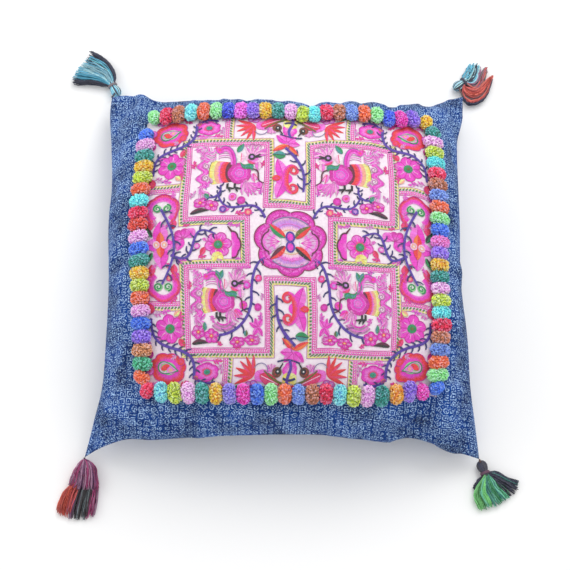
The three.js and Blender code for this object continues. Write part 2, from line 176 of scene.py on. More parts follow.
POMPOM_COLOURS = {
    "mint": (128, 228, 130), "crimson": (208, 22, 72), "brown": (168, 104, 74), "aqua": (104, 208, 238),
    "orange": (248, 92, 44), "navy": (42, 58, 190), "orchid": (236, 90, 204), "violet": (126, 92, 218),
    "yellow": (250, 166, 28), "teal": (28, 132, 122), "lilac": (238, 152, 238), "lime": (170, 192, 56),
    "cyan": (84, 206, 242), "slate": (92, 124, 200), "royal": (44, 78, 216), "magenta": (238, 44, 158),
    "blue": (44, 98, 220), "sky": (108, 192, 242), "periwinkle": (126, 118, 228), "rust": (190, 58, 42),
    "green": (46, 154, 110), "tan": (190, 132, 90), "pink": (248, 108, 180), "apricot": (250, 142, 32),
}
TRIM_ROWS = {
    "far": (-174, 171, (
        "mint crimson brown aqua orange mint navy orchid violet yellow teal lilac lime cyan crimson brown "
        "slate orange mint royal magenta violet yellow"
    )),
    "right": (168, -174, (
        "teal lilac lime cyan crimson brown slate orange mint blue pink violet yellow teal lilac lime cyan "
        "crimson brown slate orange mint blue"
    )),
    "near": (-174, 165, (
        "crimson sky lime lilac teal yellow periwinkle magenta blue mint orange slate brown crimson sky "
        "lime lilac teal apricot violet magenta"
    )),
    "left": (154, -169, (
        "blue lilac teal yellow lime orange cyan crimson rust lilac blue teal yellow lime orange lilac "
        "blue violet tan green orange"
    )),
}


def linear(rgb):
    """Scene-linear colour of one written as 0 to 255."""
    c = np.array(rgb, float) / 255
    return np.where(c <= 0.04045, c / 12.92, ((c + 0.055) / 1.055) ** 2.4)


# Materials


class Value:
    """One shader value. Python's operators on it add Math nodes to its tree."""

    def __init__(self, finish, socket):
        self.finish, self.socket = finish, socket

    def math(self, operation, *others):
        return self.finish.node("Math", {"operation": operation}, dict(enumerate((self, *others))))

    def __add__(self, other):
        return self.math("ADD", other)

    def __radd__(self, other):
        return self.math("ADD", other)

    def __sub__(self, other):
        return self.math("SUBTRACT", other)

    def __rsub__(self, other):
        return self.finish.node("Math", {"operation": "SUBTRACT"}, {0: other, 1: self})

    def __mul__(self, other):
        return self.math("MULTIPLY", other)

    def __rmul__(self, other):
        return self.math("MULTIPLY", other)

    def __lt__(self, other):
        return self.math("LESS_THAN", other)

    def __gt__(self, other):
        return self.math("GREATER_THAN", other)

    def __abs__(self):
        return self.math("ABSOLUTE")

    def clamped(self):
        return self.finish.node("Clamp", {}, {"Value": self})

    def band(self, centre, half, soft):
        """1 where the value is near centre, fading to 0 over soft."""
        return ((half - abs(self - centre)) * (1 / soft) + 0.5).clamped()


class Finish:
    """A material, whose nodes come from one method."""

    def __init__(self, name):
        self.material = bpy.data.materials.new(name)
        self.material.use_nodes = True
        self.tree = self.material.node_tree
        self.surface = self.tree.nodes["Principled BSDF"]

    def node(self, kind, settings, inputs, output=0):
        node = self.tree.nodes.new("ShaderNode" + kind)
        for name, value in settings.items():
            setattr(node, name, value)
        self.feed(node, inputs)
        outputs = [s for s in node.outputs if s.enabled]
        return Value(self, outputs[output])

    def feed(self, node, inputs):
        enabled = [s for s in node.inputs if s.enabled]
        for key, value in inputs.items():
            socket = enabled[key] if isinstance(key, int) else next(s for s in enabled if s.name == key)
            if isinstance(value, Value):
                self.tree.links.new(value.socket, socket)
            else:
                socket.default_value = value

    def finish(self, **inputs):
        self.feed(self.surface, {name.replace("_", " "): value for name, value in inputs.items()})
        return self.material

    def mix(self, factor, first, second, blend="MIX"):
        settings = {"data_type": "RGBA", "blend_type": blend}
        return self.node("Mix", settings, {"Factor": factor, "A": first, "B": second})

    def noise(self, vector, scale, detail=2.0, roughness=0.5):
        inputs = {"Vector": vector, "Scale": scale, "Detail": detail, "Roughness": roughness}
        return self.node("TexNoise", {}, inputs)

    def bump(self, height, strength, distance):
        return self.node("Bump", {}, {"Height": height, "Strength": strength, "Distance": distance})

    def parts(self, vector):
        return [self.node("SeparateXYZ", {}, {"Vector": vector}, k) for k in range(3)]

    def scaled(self, vector, factor):
        return self.node("VectorMath", {"operation": "SCALE"}, {"Vector": vector, "Scale": factor})

    def vector(self, operation, *inputs):
        return self.node("VectorMath", {"operation": operation}, dict(enumerate(inputs)))

    def mapped(self, name):
        """Places on one of the piece's flat maps."""
        return self.node("UVMap", {"uv_map": name}, {})

    def placed(self):
        """Places on the piece itself, in metres."""
        return self.node("TexCoord", {}, {}, 3)


def rgba(rgb):
    """A colour of 0 to 255 as a shader takes it."""
    return (*linear(rgb), 1.0)


def batik_cotton(settings):
    """Indigo cotton with small hand-drawn marks left pale by the wax."""
    finish = Finish("batik_cotton")
    cloth = finish.mapped("cloth")
    place = finish.placed()
    cells = finish.scaled(cloth, 1 / (settings.print_cell * 1000))
    wobble = finish.node("TexNoise", {}, {"Vector": cells, "Scale": 1.3, "Detail": 2.0}, 1)
    shift = finish.vector("SUBTRACT", wobble, (0.5, 0.5, 0.5))
    drawn = finish.vector("ADD", cells, finish.scaled(shift, 0.4))
    index = finish.vector("FLOOR", drawn)
    chance = finish.node("TexWhiteNoise", {"noise_dimensions": "2D"}, {"Vector": index})
    x, y, _ = finish.parts(finish.vector("FRACTION", drawn))
    x, y = x - 0.5, y - 0.5
    square = abs(x).math("MAXIMUM", abs(y))
    diamond = abs(x) + abs(y)
    radius = (x * x + y * y).math("SQRT")
    angle = y.math("ARCTAN2", x) * (1 / (2 * math.pi))
    dot = (radius < 0.12) * 1.0
    framed = square.band(0.35, 0.065, 0.04) + dot
    ringed = radius.band(0.33, 0.065, 0.04) + dot
    lozenge = diamond.band(0.42, 0.075, 0.05) + dot + (diamond > 0.85) * 1.0
    curled = (radius * 2.6 + angle).math("FRACT").band(0.5, 0.19, 0.1) * (radius < 0.42)
    dashed = x.band(0, 0.3, 0.05) * ((y * 3).math("FRACT")).band(0.5, 0.19, 0.1)
    marks = (
        framed * (chance < 0.3)
        + ringed * ((chance > 0.3) * (chance < 0.5))
        + lozenge * ((chance > 0.5) * (chance < 0.72))
        + curled * ((chance > 0.72) * (chance < 0.9))
        + dashed * (chance > 0.9)
    )
    between = {"Vector": cells, "Scale": 2.5, "Randomness": 0.8}
    pips, own = (finish.node("TexVoronoi", {"voronoi_dimensions": "2D"}, between, k) for k in range(2))
    pips = pips.band(0, 0.26, 0.08) * (finish.parts(own)[0] > 0.45)
    blotch = finish.noise(place, 26.0, 3.0, 0.6)
    speckle = finish.noise(place, 620.0, 2.0, 0.7)
    worn = ((speckle - 0.43) * 8.0).clamped() * ((blotch - 0.2) * 2.6).clamped()
    strength = (marks * (worn * 0.85 + 0.07) + pips * (worn * 0.6 + 0.12)).clamped() * 0.95
    dyed = finish.mix(((blotch - 0.35) * 2.4).clamped(), rgba(settings.dark), rgba(settings.light))
    flecked = finish.mix(((speckle - 0.52) * 4.0).clamped() * 0.5, dyed, rgba(settings.fleck))
    colour = finish.mix(strength, flecked, rgba(settings.marks))
    grain = finish.noise(place, 1400.0, 3.0, 0.7)
    normal = finish.bump(grain, 0.3, 0.0006)
    return finish.finish(
        Base_Color=colour, Roughness=grain * 0.2 + 0.75, Normal=normal, Specular_IOR_Level=0.2)


# Radians of the weave's wave in a millimetre of cloth.
WEAVE_WAVE = 5.2


def plain_weave(name, rgb, shade_rgb):
    """Plain woven cloth with slight slubs."""
    finish = Finish(name)
    place = finish.placed()
    cloth = finish.mapped("cloth")
    x, y, _ = (axis * WEAVE_WAVE for axis in finish.parts(cloth))
    weave = x.math("SINE") * y.math("SINE")
    slub = finish.noise(place, 320.0, 3.0, 0.6)
    colour = finish.mix(((slub - 0.35) * 2.5).clamped(), rgba(shade_rgb), rgba(rgb))
    normal = finish.bump(weave * 0.5 + slub, 0.35, 0.0005)
    return finish.finish(Base_Color=colour, Roughness=slub * 0.2 + 0.7, Normal=normal)


def yarn(name, twist, shine, fuzz):
    """Yarn in the colour that each strand carries, with its twist and paler fibres."""
    finish = Finish(name)
    own = finish.node("Attribute", {"attribute_name": "yarn_colour"}, {})
    strand = finish.mapped("strand")
    place = finish.placed()
    across, along, _ = finish.parts(strand)
    ply = ((along * twist + across) * (2 * math.pi)).math("SINE")
    fibre = finish.noise(place, 1600.0, 2.0, 0.6)
    deep = finish.mix(1.0, own, (0.62, 0.56, 0.62, 1.0), "MULTIPLY")
    pale = finish.mix(0.22, own, (1.0, 0.98, 1.0, 1.0))
    worn = finish.mix(((fibre - 0.3) * 2.6).clamped(), deep, pale)
    colour = finish.mix(fuzz, own, worn)
    normal = finish.bump(ply * 0.5 + fibre, 0.4, 0.0003)
    return finish.finish(
        Base_Color=colour, Roughness=fibre * 0.2 + (0.74 - shine), Normal=normal, Specular_IOR_Level=0.25 + shine)


# Meshes

CELL_MARGIN = 0.1
DARKEST, BRIGHTEST = 0.003, 0.95
YARN_LIFT, PALE_TINT = 1.7, (0.15, 0.19, 0.28)


def build_mesh(name, points, faces, uvs, colours=None, material=None, smooth=True):
    """A piece from points in millimetres, arrays of faces, and UV arrays for each face corner by map."""
    mesh = bpy.data.meshes.new(name)
    mesh.vertices.add(len(points))
    mesh.vertices.foreach_set("co", (np.asarray(points, float) * MM).ravel())
    corners = np.concatenate([np.asarray(f).ravel() for f in faces])
    sizes = np.concatenate([np.full(len(f), np.shape(f)[1]) for f in faces])
    mesh.loops.add(len(corners))
    mesh.loops.foreach_set("vertex_index", corners.astype(np.int32))
    mesh.polygons.add(len(sizes))
    mesh.polygons.foreach_set("loop_start", np.r_[0, np.cumsum(sizes)[:-1]].astype(np.int32))
    mesh.update(calc_edges=True)
    for label, uv in uvs.items():
        mesh.uv_layers.new(name=label).data.foreach_set("uv", np.asarray(uv, float).ravel())
    if colours is not None:
        layer = mesh.color_attributes.new("yarn_colour", "FLOAT_COLOR", "POINT")
        layer.data.foreach_set("color", np.c_[colours, np.ones(len(points))].ravel())
    mesh.polygons.foreach_set("use_smooth", np.full(len(sizes), smooth))
    mesh.validate()
    piece = bpy.data.objects.new(name, mesh)
    bpy.context.scene.collection.objects.link(piece)
    if material:
        mesh.materials.append(material)
    return piece


def circled(side, up, angle):
    """Directions at angles between two axes at right angles to each other."""
    return side * np.cos(angle)[:, None] + up * np.sin(angle)[:, None]


def squares(ids):
    """Quads of a grid of points, given by their numbers."""
    return np.stack([ids[:-1, :-1], ids[:-1, 1:], ids[1:, 1:], ids[1:, :-1]], -1).reshape(-1, 4)


def tube(stations, sides, length=None):
    """Quads round rings of points, and the place of each corner across and along the tube."""
    j, k = np.arange(stations - 1)[:, None], np.arange(sides)[None, :]
    beside = (k + 1) % sides
    quads = np.stack([j * sides + k, j * sides + beside, (j + 1) * sides + beside, (j + 1) * sides + k], -1)
    length = length or stations - 1
    low, high = j / length + 0 * k, (j + 1) / length + 0 * k
    left, right = k / sides + 0 * j, (k + 1) / sides + 0 * j
    across, along = np.stack([left, right, right, left], -1), np.stack([low, low, high, high], -1)
    return quads.reshape(-1, 4), across.reshape(1, -1, 4), along.reshape(1, -1, 4)


def strands(paths, radii, colours, sides=3, turn=0.0):
    """Round strands along paths of (strand, station, xyz). Returns what gathered() joins."""
    paths = np.asarray(paths, float)
    count, stations = paths.shape[:2]
    radii = np.broadcast_to(radii, (count, stations))
    tangent = unit(np.gradient(paths, axis=1))
    whole = unit(paths[:, -1] - paths[:, 0])
    lean = np.where(np.abs(whole[:, 2:3]) < 0.9, [[0.0, 0.0, 1.0]], [[1.0, 0.0, 0.0]])
    side = unit(np.cross(tangent, lean[:, None, :]))
    up = np.cross(side, tangent)
    angle = 2 * math.pi * np.arange(sides) / sides + turn
    ring = circled(side[:, :, None, :], up[:, :, None, :], angle) * radii[..., None, None]
    quads, across, along = tube(stations, sides)
    block = np.arange(count)[:, None, None] * stations * sides
    return {
        "points": (paths[:, :, None, :] + ring).reshape(-1, 3),
        "quads": (block + quads).reshape(-1, 4),
        "caps": block[:, 0] + (stations - 1) * sides + np.arange(sides),
        "colours": np.repeat(np.asarray(colours, float), stations * sides, axis=0),
        "across": np.repeat(across, count, 0), "along": np.repeat(along, count, 0),
    }


def gathered(name, parts, material):
    """One piece from several sets of strands, with a cell of the bake map for each strand."""
    points, quads, caps, colours, strand_uv, bake_uv, cap_uv = [], [], [], [], [], [], []
    total = sum(len(part["across"]) for part in parts)
    columns = math.ceil(math.sqrt(total))
    base, first = 0, 0
    for part in parts:
        count = len(part["across"])
        index = np.arange(first, first + count)
        corner = np.stack([index % columns, index // columns], -1).reshape(count, 1, 1, 2)
        inside = np.stack([part["across"], part["along"]], -1)
        strand_uv.append(inside.reshape(-1, 2))
        bake_uv.append(((corner + inside * (1 - 2 * CELL_MARGIN) + CELL_MARGIN) / columns).reshape(-1, 2))
        points.append(part["points"])
        quads.append(part["quads"] + base)
        colours.append(part["colours"])
        if part["caps"] is not None:
            caps.append(part["caps"] + base)
            sides = part["caps"].shape[1]
            spots = np.stack([np.linspace(0.3, 0.7, sides), 0.9 + 0.08 * (np.arange(sides) % 2)], -1)
            cap_uv.append(((corner[:, :, 0] + spots) / columns).reshape(-1, 2))
        base += len(part["points"])
        first += count
    maps = {"strand": np.concatenate(strand_uv + cap_uv), "OFBake": np.concatenate(bake_uv + cap_uv)}
    return build_mesh(name, np.concatenate(points), quads + caps, maps, np.concatenate(colours), material)


def finish_piece(piece, slot, *nodes):
    """Rides the piece on the cushion, and lets it stand for its solids."""
    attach(piece, "root")
    if nodes:
        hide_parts(*nodes)
    return piece


def random_shades(rng, base, count, spread=0.12, dark=0.0, pale=0.0):
    """Linear colours around a base, some darker and some paler than the rest."""
    colours = YARN_LIFT * np.repeat(linear(base)[None], count, 0) * (1 + spread * rng.standard_normal((count, 1)))
    chance = rng.random((count, 1))
    colours = np.where(chance < dark, colours * 0.5, colours)
    colours = np.where(chance > 1 - pale, colours * 0.9 + PALE_TINT, colours)
    return np.clip(colours, DARKEST, BRIGHTEST)


# Settings of the pieces


def colour_setting(name, description, default):
    return bpy.props.IntVectorProperty(name=name, description=description, default=default, min=0, max=255)


def count_setting(name, description, default, least, most):
    return bpy.props.IntProperty(name=name, description=description, default=default, min=least, max=most)


def length_setting(name, description, default, least, most):
    return bpy.props.FloatProperty(
        name=name, description=description, default=default, min=least, max=most, unit="LENGTH")


# The cover

# Length in millimetres and share of each wave of the gathers, then how far in they reach and where they start.
GATHERS = ((31.0, 0.5), (19.0, 0.9), (12.5, 0.6), (47.0, 0.5))
GATHER_REACH, GATHER_START, BACK_GATHER = 26.0, 2.5, 0.8
SIDE_REACH = 205
SWELL_FRAMES = 20
SWELL_CLOTH = {
    "quality": 5, "mass": 0.25, "tension_stiffness": 20, "compression_stiffness": 20, "shear_stiffness": 8,
    "bending_stiffness": 0.35, "vertex_group_mass": "held", "use_pressure": True, "uniform_pressure_force": 4,
    "shrink_min": -0.045,
}
SEAM_CREASE = 0.7
BACK_PRINT_SHIFT = 611.0
COVERED_BY_PANEL, PANEL_SHIFT = 176, 5


def seam_stations(cells):
    """Places of -1 to 1, closer together towards the seam."""
    x = np.linspace(-1, 1, cells + 1)
    return 0.5 * x + 0.5 * np.sin(math.pi * x / 2)


def arc_lengths(points, axis):
    """Cloth length from the middle of each row or column of a grid of points."""
    steps = np.linalg.norm(np.diff(points, axis=axis), axis=-1)
    zero = np.zeros_like(np.take(steps, [0], axis=axis))
    length = np.concatenate([zero, np.cumsum(steps, axis=axis)], axis=axis)
    middle = np.take(length, [points.shape[axis] // 2], axis=axis)
    return length - middle


def pucker(points, u, v, upper, depth, seed):
    """Offsets of the small gathers along the seam."""
    rng = np.random.default_rng(seed)
    edge = np.minimum(1 - np.abs(u), 1 - np.abs(v)) * SIDE_REACH
    on_sides = np.abs(u) > np.abs(v)
    run = np.where(on_sides, points[..., 1], points[..., 0])
    wave = np.zeros_like(run)
    for length, share in GATHERS:
        drift = 0.8 * np.sin(run / (length * 2.7) + rng.uniform(0, FULL_TURN))
        side = np.where(on_sides, np.sign(u) * 1.7, np.sign(v) * 2.9)
        wave += share * np.sin(2 * math.pi * run / length + drift + side + rng.uniform(0, FULL_TURN))
    fade = np.exp(-((edge / GATHER_REACH) ** 2)) * (1 - np.exp(-((edge / GATHER_START) ** 2)))
    return depth * wave * fade * (1.0 if upper else BACK_GATHER)


def inflate(piece, held):
    """Blows the cover up as cloth, and returns its points in metres."""
    group = piece.vertex_groups.new(name="held")
    for index in np.flatnonzero(held > 0):
        group.add([int(index)], float(held[index]), "REPLACE")
    cloth = piece.modifiers.new("inflate", "CLOTH")
    for key, value in SWELL_CLOTH.items():
        setattr(cloth.settings, key, value)
    cloth.settings.effector_weights.gravity = 0
    cloth.collision_settings.use_collision = False
    cloth.point_cache.frame_start, cloth.point_cache.frame_end = 1, SWELL_FRAMES
    scene = bpy.context.scene
    for number in range(1, SWELL_FRAMES + 1):
        scene.frame_set(number)
    grown = piece.evaluated_get(bpy.context.evaluated_depsgraph_get()).to_mesh()
    co = np.empty(len(grown.vertices) * 3)
    grown.vertices.foreach_get("co", co)
    piece.modifiers.remove(cloth)
    piece.vertex_groups.remove(group)
    scene.frame_set(1)
    return co.reshape(-1, 3)


class CushionCoverSettings(bpy.types.PropertyGroup):
    print_cell: length_setting("Print cell", "Width of one mark of the batik print", 0.0082, 0.002, 0.05)
    dark: colour_setting("Deep dye", "Indigo where the dye took best", (8, 28, 78))
    light: colour_setting("Thin dye", "Indigo where the dye is thin", (20, 70, 154))
    fleck: colour_setting("Fleck", "Fine paler flecks of the dyed ground", (60, 130, 216))
    marks: colour_setting("Marks", "Marks that the wax kept pale", (184, 218, 255))
    cells: count_setting("Cells", "Grid cells across each side of the cover", 72, 24, 120)
    pucker_depth: length_setting("Pucker depth", "Depth of the gathers along the seam", 0.0017, 0, 0.005)
    most_swell: length_setting("Most swell", "How far the blown-up cloth may leave its form", 0.006, 0, 0.02)


class CUSHION_OT_sew_cover(bpy.types.Operator):
    """Sews the batik cover and fills it"""

    bl_idname = "cushion.sew_cover"
    bl_label = "Sew Cover"

    def execute(self, context):
        settings = context.scene.cushion_cover
        cells = settings.cells
        size = cells + 1
        line = seam_stations(cells)
        u, v = np.meshgrid(line, line)
        front, back = cover_point(u, v, True), cover_point(u, v, False)
        inner = np.zeros((size, size), bool)
        inner[1:-1, 1:-1] = True
        front_ids = np.arange(size * size).reshape(size, size)
        back_ids = front_ids.copy()
        back_ids[inner] = size * size + np.arange(inner.sum())
        points = np.concatenate([front.reshape(-1, 3), back[inner]])

        faces = np.concatenate([squares(front_ids), squares(back_ids)[:, ::-1]])
        maps = {"cloth": [], "OFBake": []}
        for grid, flip in ((front, False), (back, True)):
            flat = np.stack([arc_lengths(grid, 1), arc_lengths(grid, 0)], -1)
            flat = flat + (BACK_PRINT_SHIFT if flip else 0)
            corner = [np.s_[:-1, :-1], np.s_[:-1, 1:], np.s_[1:, 1:], np.s_[1:, :-1]]
            order = corner[::-1] if flip else corner
            maps["cloth"].append(np.stack([flat[c] for c in order], 2).reshape(-1, 2))
            place = np.stack([np.stack([u, v], -1)[c] for c in order], 2)
            maps["OFBake"].append(self.baked_places(place, flip).reshape(-1, 2))
        material = batik_cotton(settings)
        cover = build_mesh(
            "batik_cover", points, [faces], {k: np.concatenate(m) for k, m in maps.items()}, None, material)
        every_u = np.concatenate([u.ravel(), u[inner]])
        every_v = np.concatenate([v.ravel(), v[inner]])
        upper = np.arange(len(points)) < size * size
        self.swell(cover, points, every_u, every_v, upper, settings.most_swell / MM)
        self.gather(cover, every_u, every_v, upper, settings.pucker_depth / MM)
        seam = set(map(int, front_ids[~inner]))
        creases = cover.data.attributes.new("crease_edge", "FLOAT", "EDGE")
        for edge in cover.data.edges:
            if edge.vertices[0] in seam and edge.vertices[1] in seam:
                creases.data[edge.index].value = SEAM_CREASE
        rounding = cover.modifiers.new("rounding", "SUBSURF")
        rounding.levels = rounding.render_levels = 1
        finish_piece(cover, "batik_cotton", "cushion_body")
        return {"FINISHED"}

    @staticmethod
    def baked_places(place, back):
        """Places on the bake map, with the front's open border drawn larger than what the panel hides."""
        span, strip, border = 0.96, 0.105, 0.78
        if back:
            return (place + 1) / 2 * 0.54 + (0.02, 0.44)
        middle = place.mean(2, keepdims=True)
        mu, mv = middle[..., :1], middle[..., 1:]
        across, along = place[..., :1], place[..., 1:]
        hidden = (place + 1) / 2 * 0.38 + (0.59, 0.5)

        def strip_of(run, depth, row):
            low = (depth - border) / (1 - border)
            return np.concatenate([(run + 1) / 2 * span + 0.02, 0.005 + row * strip + low * (strip - 0.01)], -1)

        sides = np.abs(mu) >= np.abs(mv)
        result = np.where((mv > border) & ~sides, strip_of(across, along, 0), hidden)
        result = np.where((mv < -border) & ~sides, strip_of(across, -along, 1), result)
        result = np.where((mu > border) & sides, strip_of(along, across, 2), result)
        return np.where((mu < -border) & sides, strip_of(along, -across, 3), result)

    @staticmethod
    def swell(cover, points, u, v, upper, most):
        """Adds what a blown-up cloth does beside the panel, and keeps the seam and the rest of the form."""
        s, t = u * COVER_HALF, v * COVER_HALF
        covered = upper & (np.maximum(np.abs(s - PANEL_SHIFT), np.abs(t)) < COVERED_BY_PANEL)
        seam = np.maximum(np.abs(u), np.abs(v)) > 0.9999
        resting = ~upper & (points[:, 2] < 0.5)
        grown = inflate(cover, (covered | seam | resting).astype(float)) / MM
        move = grown - points
        reach = np.linalg.norm(move, axis=1, keepdims=True)
        points += move * np.minimum(1, most / np.maximum(reach, 1e-6))
        points[:, 2] = np.maximum(points[:, 2], 0)
        cover.data.vertices.foreach_set("co", (points * MM).ravel())

    @staticmethod
    def gather(cover, u, v, upper, depth):
        """Draws the cloth into small gathers along the seam."""
        mesh = cover.data
        count = len(mesh.vertices)
        co, normals = np.empty(count * 3), np.empty(count * 3)
        mesh.update()
        mesh.vertices.foreach_get("co", co)
        mesh.vertex_normals.foreach_get("vector", normals)
        co, normals = co.reshape(-1, 3) / MM, normals.reshape(-1, 3)
        offset = np.where(upper, pucker(co, u, v, True, depth, 3), pucker(co, u, v, False, depth, 8))
        co += normals * offset[:, None]
        co[:, 2] = np.maximum(co[:, 2], 0)
        mesh.vertices.foreach_set("co", (co * MM).ravel())
        mesh.update()


# The panel's ground cloth


class PanelSettings(bpy.types.PropertyGroup):
    cloth: colour_setting("Ground", "Colour of the panel's cloth", (244, 236, 240))
    cloth_shade: colour_setting("Ground slubs", "Colour of its slubs", (232, 214, 228))
    cells: count_setting("Cells", "Grid cells across each side of the panel", 96, 24, 200)
    thread_pitch: length_setting("Thread pitch", "Distance between neighbouring stitches", 0.00078, 0.0004, 0.003)
    thread_width: length_setting("Thread width", "Width of the stitching thread", 0.00105, 0.0003, 0.003)


class CUSHION_OT_lay_panel(bpy.types.Operator):
    """Lays the panel's white ground cloth on the front"""

    bl_idname = "cushion.lay_panel"
    bl_label = "Lay Panel"

    def execute(self, context):
        settings = context.scene.cushion_panel
        size = settings.cells + 1
        line = np.linspace(-PANEL_HALF, PANEL_HALF, size)
        p, q = np.meshgrid(line, line)
        rng = np.random.default_rng(5)
        relief = sum(
            np.sin(p / a + rng.uniform(0, 6)) * np.sin(q / b + rng.uniform(0, 6))
            for a, b in ((9, 7), (5, 11), (13, 6)))
        rim = np.clip((PANEL_HALF - np.maximum(np.abs(p), np.abs(q))) / 3.0, 0, 1)
        height = PANEL_TOP - 0.12 + 0.06 * relief - 0.5 * (1 - rim)
        upper = panel_point(p, q, height)
        lower = panel_point(p, q, np.full_like(p, PANEL_LOW))
        ids = np.arange(size * size).reshape(size, size)

        top, base = squares(ids), squares(ids + size * size)[:, ::-1]
        loop = np.concatenate([ids[0, :-1], ids[:-1, -1], ids[-1, :0:-1], ids[:0:-1, 0]])
        after = np.roll(loop, -1)
        hem = np.stack([loop, loop + size * size, after + size * size, after], -1)[:, ::-1]
        places = np.stack([p, q], -1).reshape(-1, 2)
        flat = np.concatenate([places, places])
        corners = np.concatenate([top.ravel(), base.ravel(), hem.ravel()])
        cloth = flat[corners]
        unfolded = (cloth / PANEL_HALF + 1) / 2
        n = top.size
        bake = unfolded * 0.6 + 0.02
        bake[n:2 * n] = unfolded[n:2 * n] * 0.34 + (0.65, 0.02)
        run = np.arange(len(loop)) / len(loop)
        step = 1 / len(loop)
        ends = np.stack([run, run, run + step, run + step], -1)[:, ::-1]
        rows = np.broadcast_to([0.97, 0.99, 0.99, 0.97], ends.shape)[:, ::-1]
        bake[2 * n:] = np.stack([ends * 0.96 + 0.02, rows], -1).reshape(-1, 2)
        material = plain_weave("panel_cotton", settings.cloth, settings.cloth_shade)
        points = np.concatenate([upper.reshape(-1, 3), lower.reshape(-1, 3)])
        ground = build_mesh(
            "panel_ground", points, [np.concatenate([top, base, hem])], {"cloth": cloth, "OFBake": bake},
            None, material)
        finish_piece(ground, "embroidered_cotton", "embroidered_panel")
        return {"FINISHED"}


# Embroidery

STITCH_RISE, LAYER_RISE, LONGEST_STITCH, SHORTEST_STITCH = 0.46, 0.3, 11, 0.25


def smooth(points, count=40):
    """A smooth curve of even steps through the given points."""
    knots = np.array(points, float)
    if len(knots) == 2:
        return knots[0] + (knots[1] - knots[0]) * np.linspace(0, 1, count)[:, None]
    padded = np.vstack([2 * knots[0] - knots[1], knots, 2 * knots[-1] - knots[-2]])
    t = np.linspace(0, 1, 12, endpoint=False)[:, None]
    runs = []
    for a, b, c, d in zip(padded, padded[1:], padded[2:], padded[3:]):
        runs.append(0.5 * (2 * b + (c - a) * t + (2 * a - 5 * b + 4 * c - d) * t**2 + (3 * b - a - 3 * c + d) * t**3))
    return even(np.vstack([*runs, knots[-1:]]), count)


def even(curve, count):
    """The same curve in count points, evenly apart."""
    steps = np.r_[0, np.cumsum(np.linalg.norm(np.diff(curve, axis=0), axis=1))]
    at = np.linspace(0, steps[-1], count)
    return np.stack([np.interp(at, steps, curve[:, k]) for k in range(2)], -1)


def span(curve):
    """A curve's length."""
    return float(np.linalg.norm(np.diff(curve, axis=0), axis=1).sum())


def arc(x, y, rx, ry, start, end, count=60):
    """Part of an ellipse, from one angle to another in degrees."""
    a = np.radians(np.linspace(start, end, count))
    return np.stack([x + rx * np.cos(a), y + ry * np.sin(a)], -1)


def winding(x0, y0, x1, y1, sway, waves=0.5, count=60):
    """A curve from one place to another that sways to either side of the straight way."""
    t = np.linspace(0, 1, count)[:, None]
    way = np.array([x1 - x0, y1 - y0], float)
    side = np.array([-way[1], way[0]]) / np.linalg.norm(way)
    return np.array([x0, y0]) + way * t + side * sway * np.sin(2 * math.pi * waves * t)


def lobed(radius, lobes=0, depth=0.0, start=0, end=360, squash=1.0, phase=0.0):
    """A round line with lobes, such as a flower's edge."""
    angles = np.radians(np.linspace(start, end, max(16, int(abs(end - start) / 2))))
    wave = np.abs(np.sin((angles + math.radians(phase)) * lobes / 2)) ** 0.7 if lobes else np.ones_like(angles)
    reach = radius * (1 - depth + depth * wave)
    return np.stack([reach * np.cos(angles), reach * np.sin(angles) * squash], -1)


def pear(length, count=60):
    """A pear-shaped line, round at one end and pointed at the other."""
    a = np.linspace(0, 2 * math.pi, count)
    return length * np.stack([np.cos(a), 0.75 * np.sin(a) * np.sin(a / 2) ** 1.5], -1)


def polar(x, y, angle, length):
    """The place at an angle in degrees and a distance from another."""
    return x + length * math.cos(math.radians(angle)), y + length * math.sin(math.radians(angle))


class Stitches:
    """Straight stitches on the panel, in its own millimetres."""

    def __init__(self, pitch, width, seed):
        self.pitch, self.width = pitch, width
        self.rng = np.random.default_rng(seed)
        self.starts, self.ends, self.widths, self.layers, self.shades = [], [], [], [], []

    def add(self, starts, ends, shade, layer, width):
        count = len(starts)
        self.starts.append(starts)
        self.ends.append(ends)
        self.widths.append(np.full(count, width))
        self.layers.append(np.full(count, float(layer)))
        self.shades.append(np.full(count, SHADE_NAMES.index(shade)))

    def piece(self, name, material):
        """One mesh of all the stitches, each a low ridge."""
        starts, ends = np.concatenate(self.starts), np.concatenate(self.ends)
        widths, layers = np.concatenate(self.widths), np.concatenate(self.layers)
        shades = np.concatenate(self.shades)
        keep = np.linalg.norm(ends - starts, axis=1) > SHORTEST_STITCH
        starts, ends, widths, layers, shades = (a[keep] for a in (starts, ends, widths, layers, shades))
        count = len(starts)
        along = unit(ends - starts)
        side = np.stack([-along[:, 1], along[:, 0]], -1)
        t = np.array([0, 1])[None, :, None, None]
        c = np.array([-1, 0, 1])[None, None, :, None]
        flat = starts[:, None, None] + (ends - starts)[:, None, None] * t
        flat = flat + side[:, None, None] * c * widths[:, None, None, None] / 2
        rise = np.array([0, STITCH_RISE, 0])[None, None, :]
        lift = self.rng.uniform(-0.05, 0.05, count)
        sunk = PANEL_TOP - 0.08 + (layers * LAYER_RISE + lift)[:, None, None]
        height = sunk + rise * (widths / 1.05)[:, None, None]
        palette = np.array([linear(SHADES[n]) for n in SHADE_NAMES])
        tint = palette[shades] * (1 + 0.1 * self.rng.standard_normal((count, 1)))
        tint = np.clip(tint + 0.015 * self.rng.standard_normal((count, 3)), 0.002, 0.95)
        faces = np.arange(count)[:, None, None] * 6 + np.array([[1, 4, 3, 0], [2, 5, 4, 1]])
        part = {
            "points": panel_point(flat[..., 0], flat[..., 1], height).reshape(-1, 3),
            "quads": faces.reshape(-1, 4), "caps": None, "colours": np.repeat(tint, 6, axis=0),
            "across": np.broadcast_to([[0.5, 0.5, 0, 0], [1, 1, 0.5, 0.5]], (count, 2, 4)),
            "along": np.broadcast_to([0, 1, 1, 0], (count, 2, 4)),
        }
        return gathered(name, [part], material)


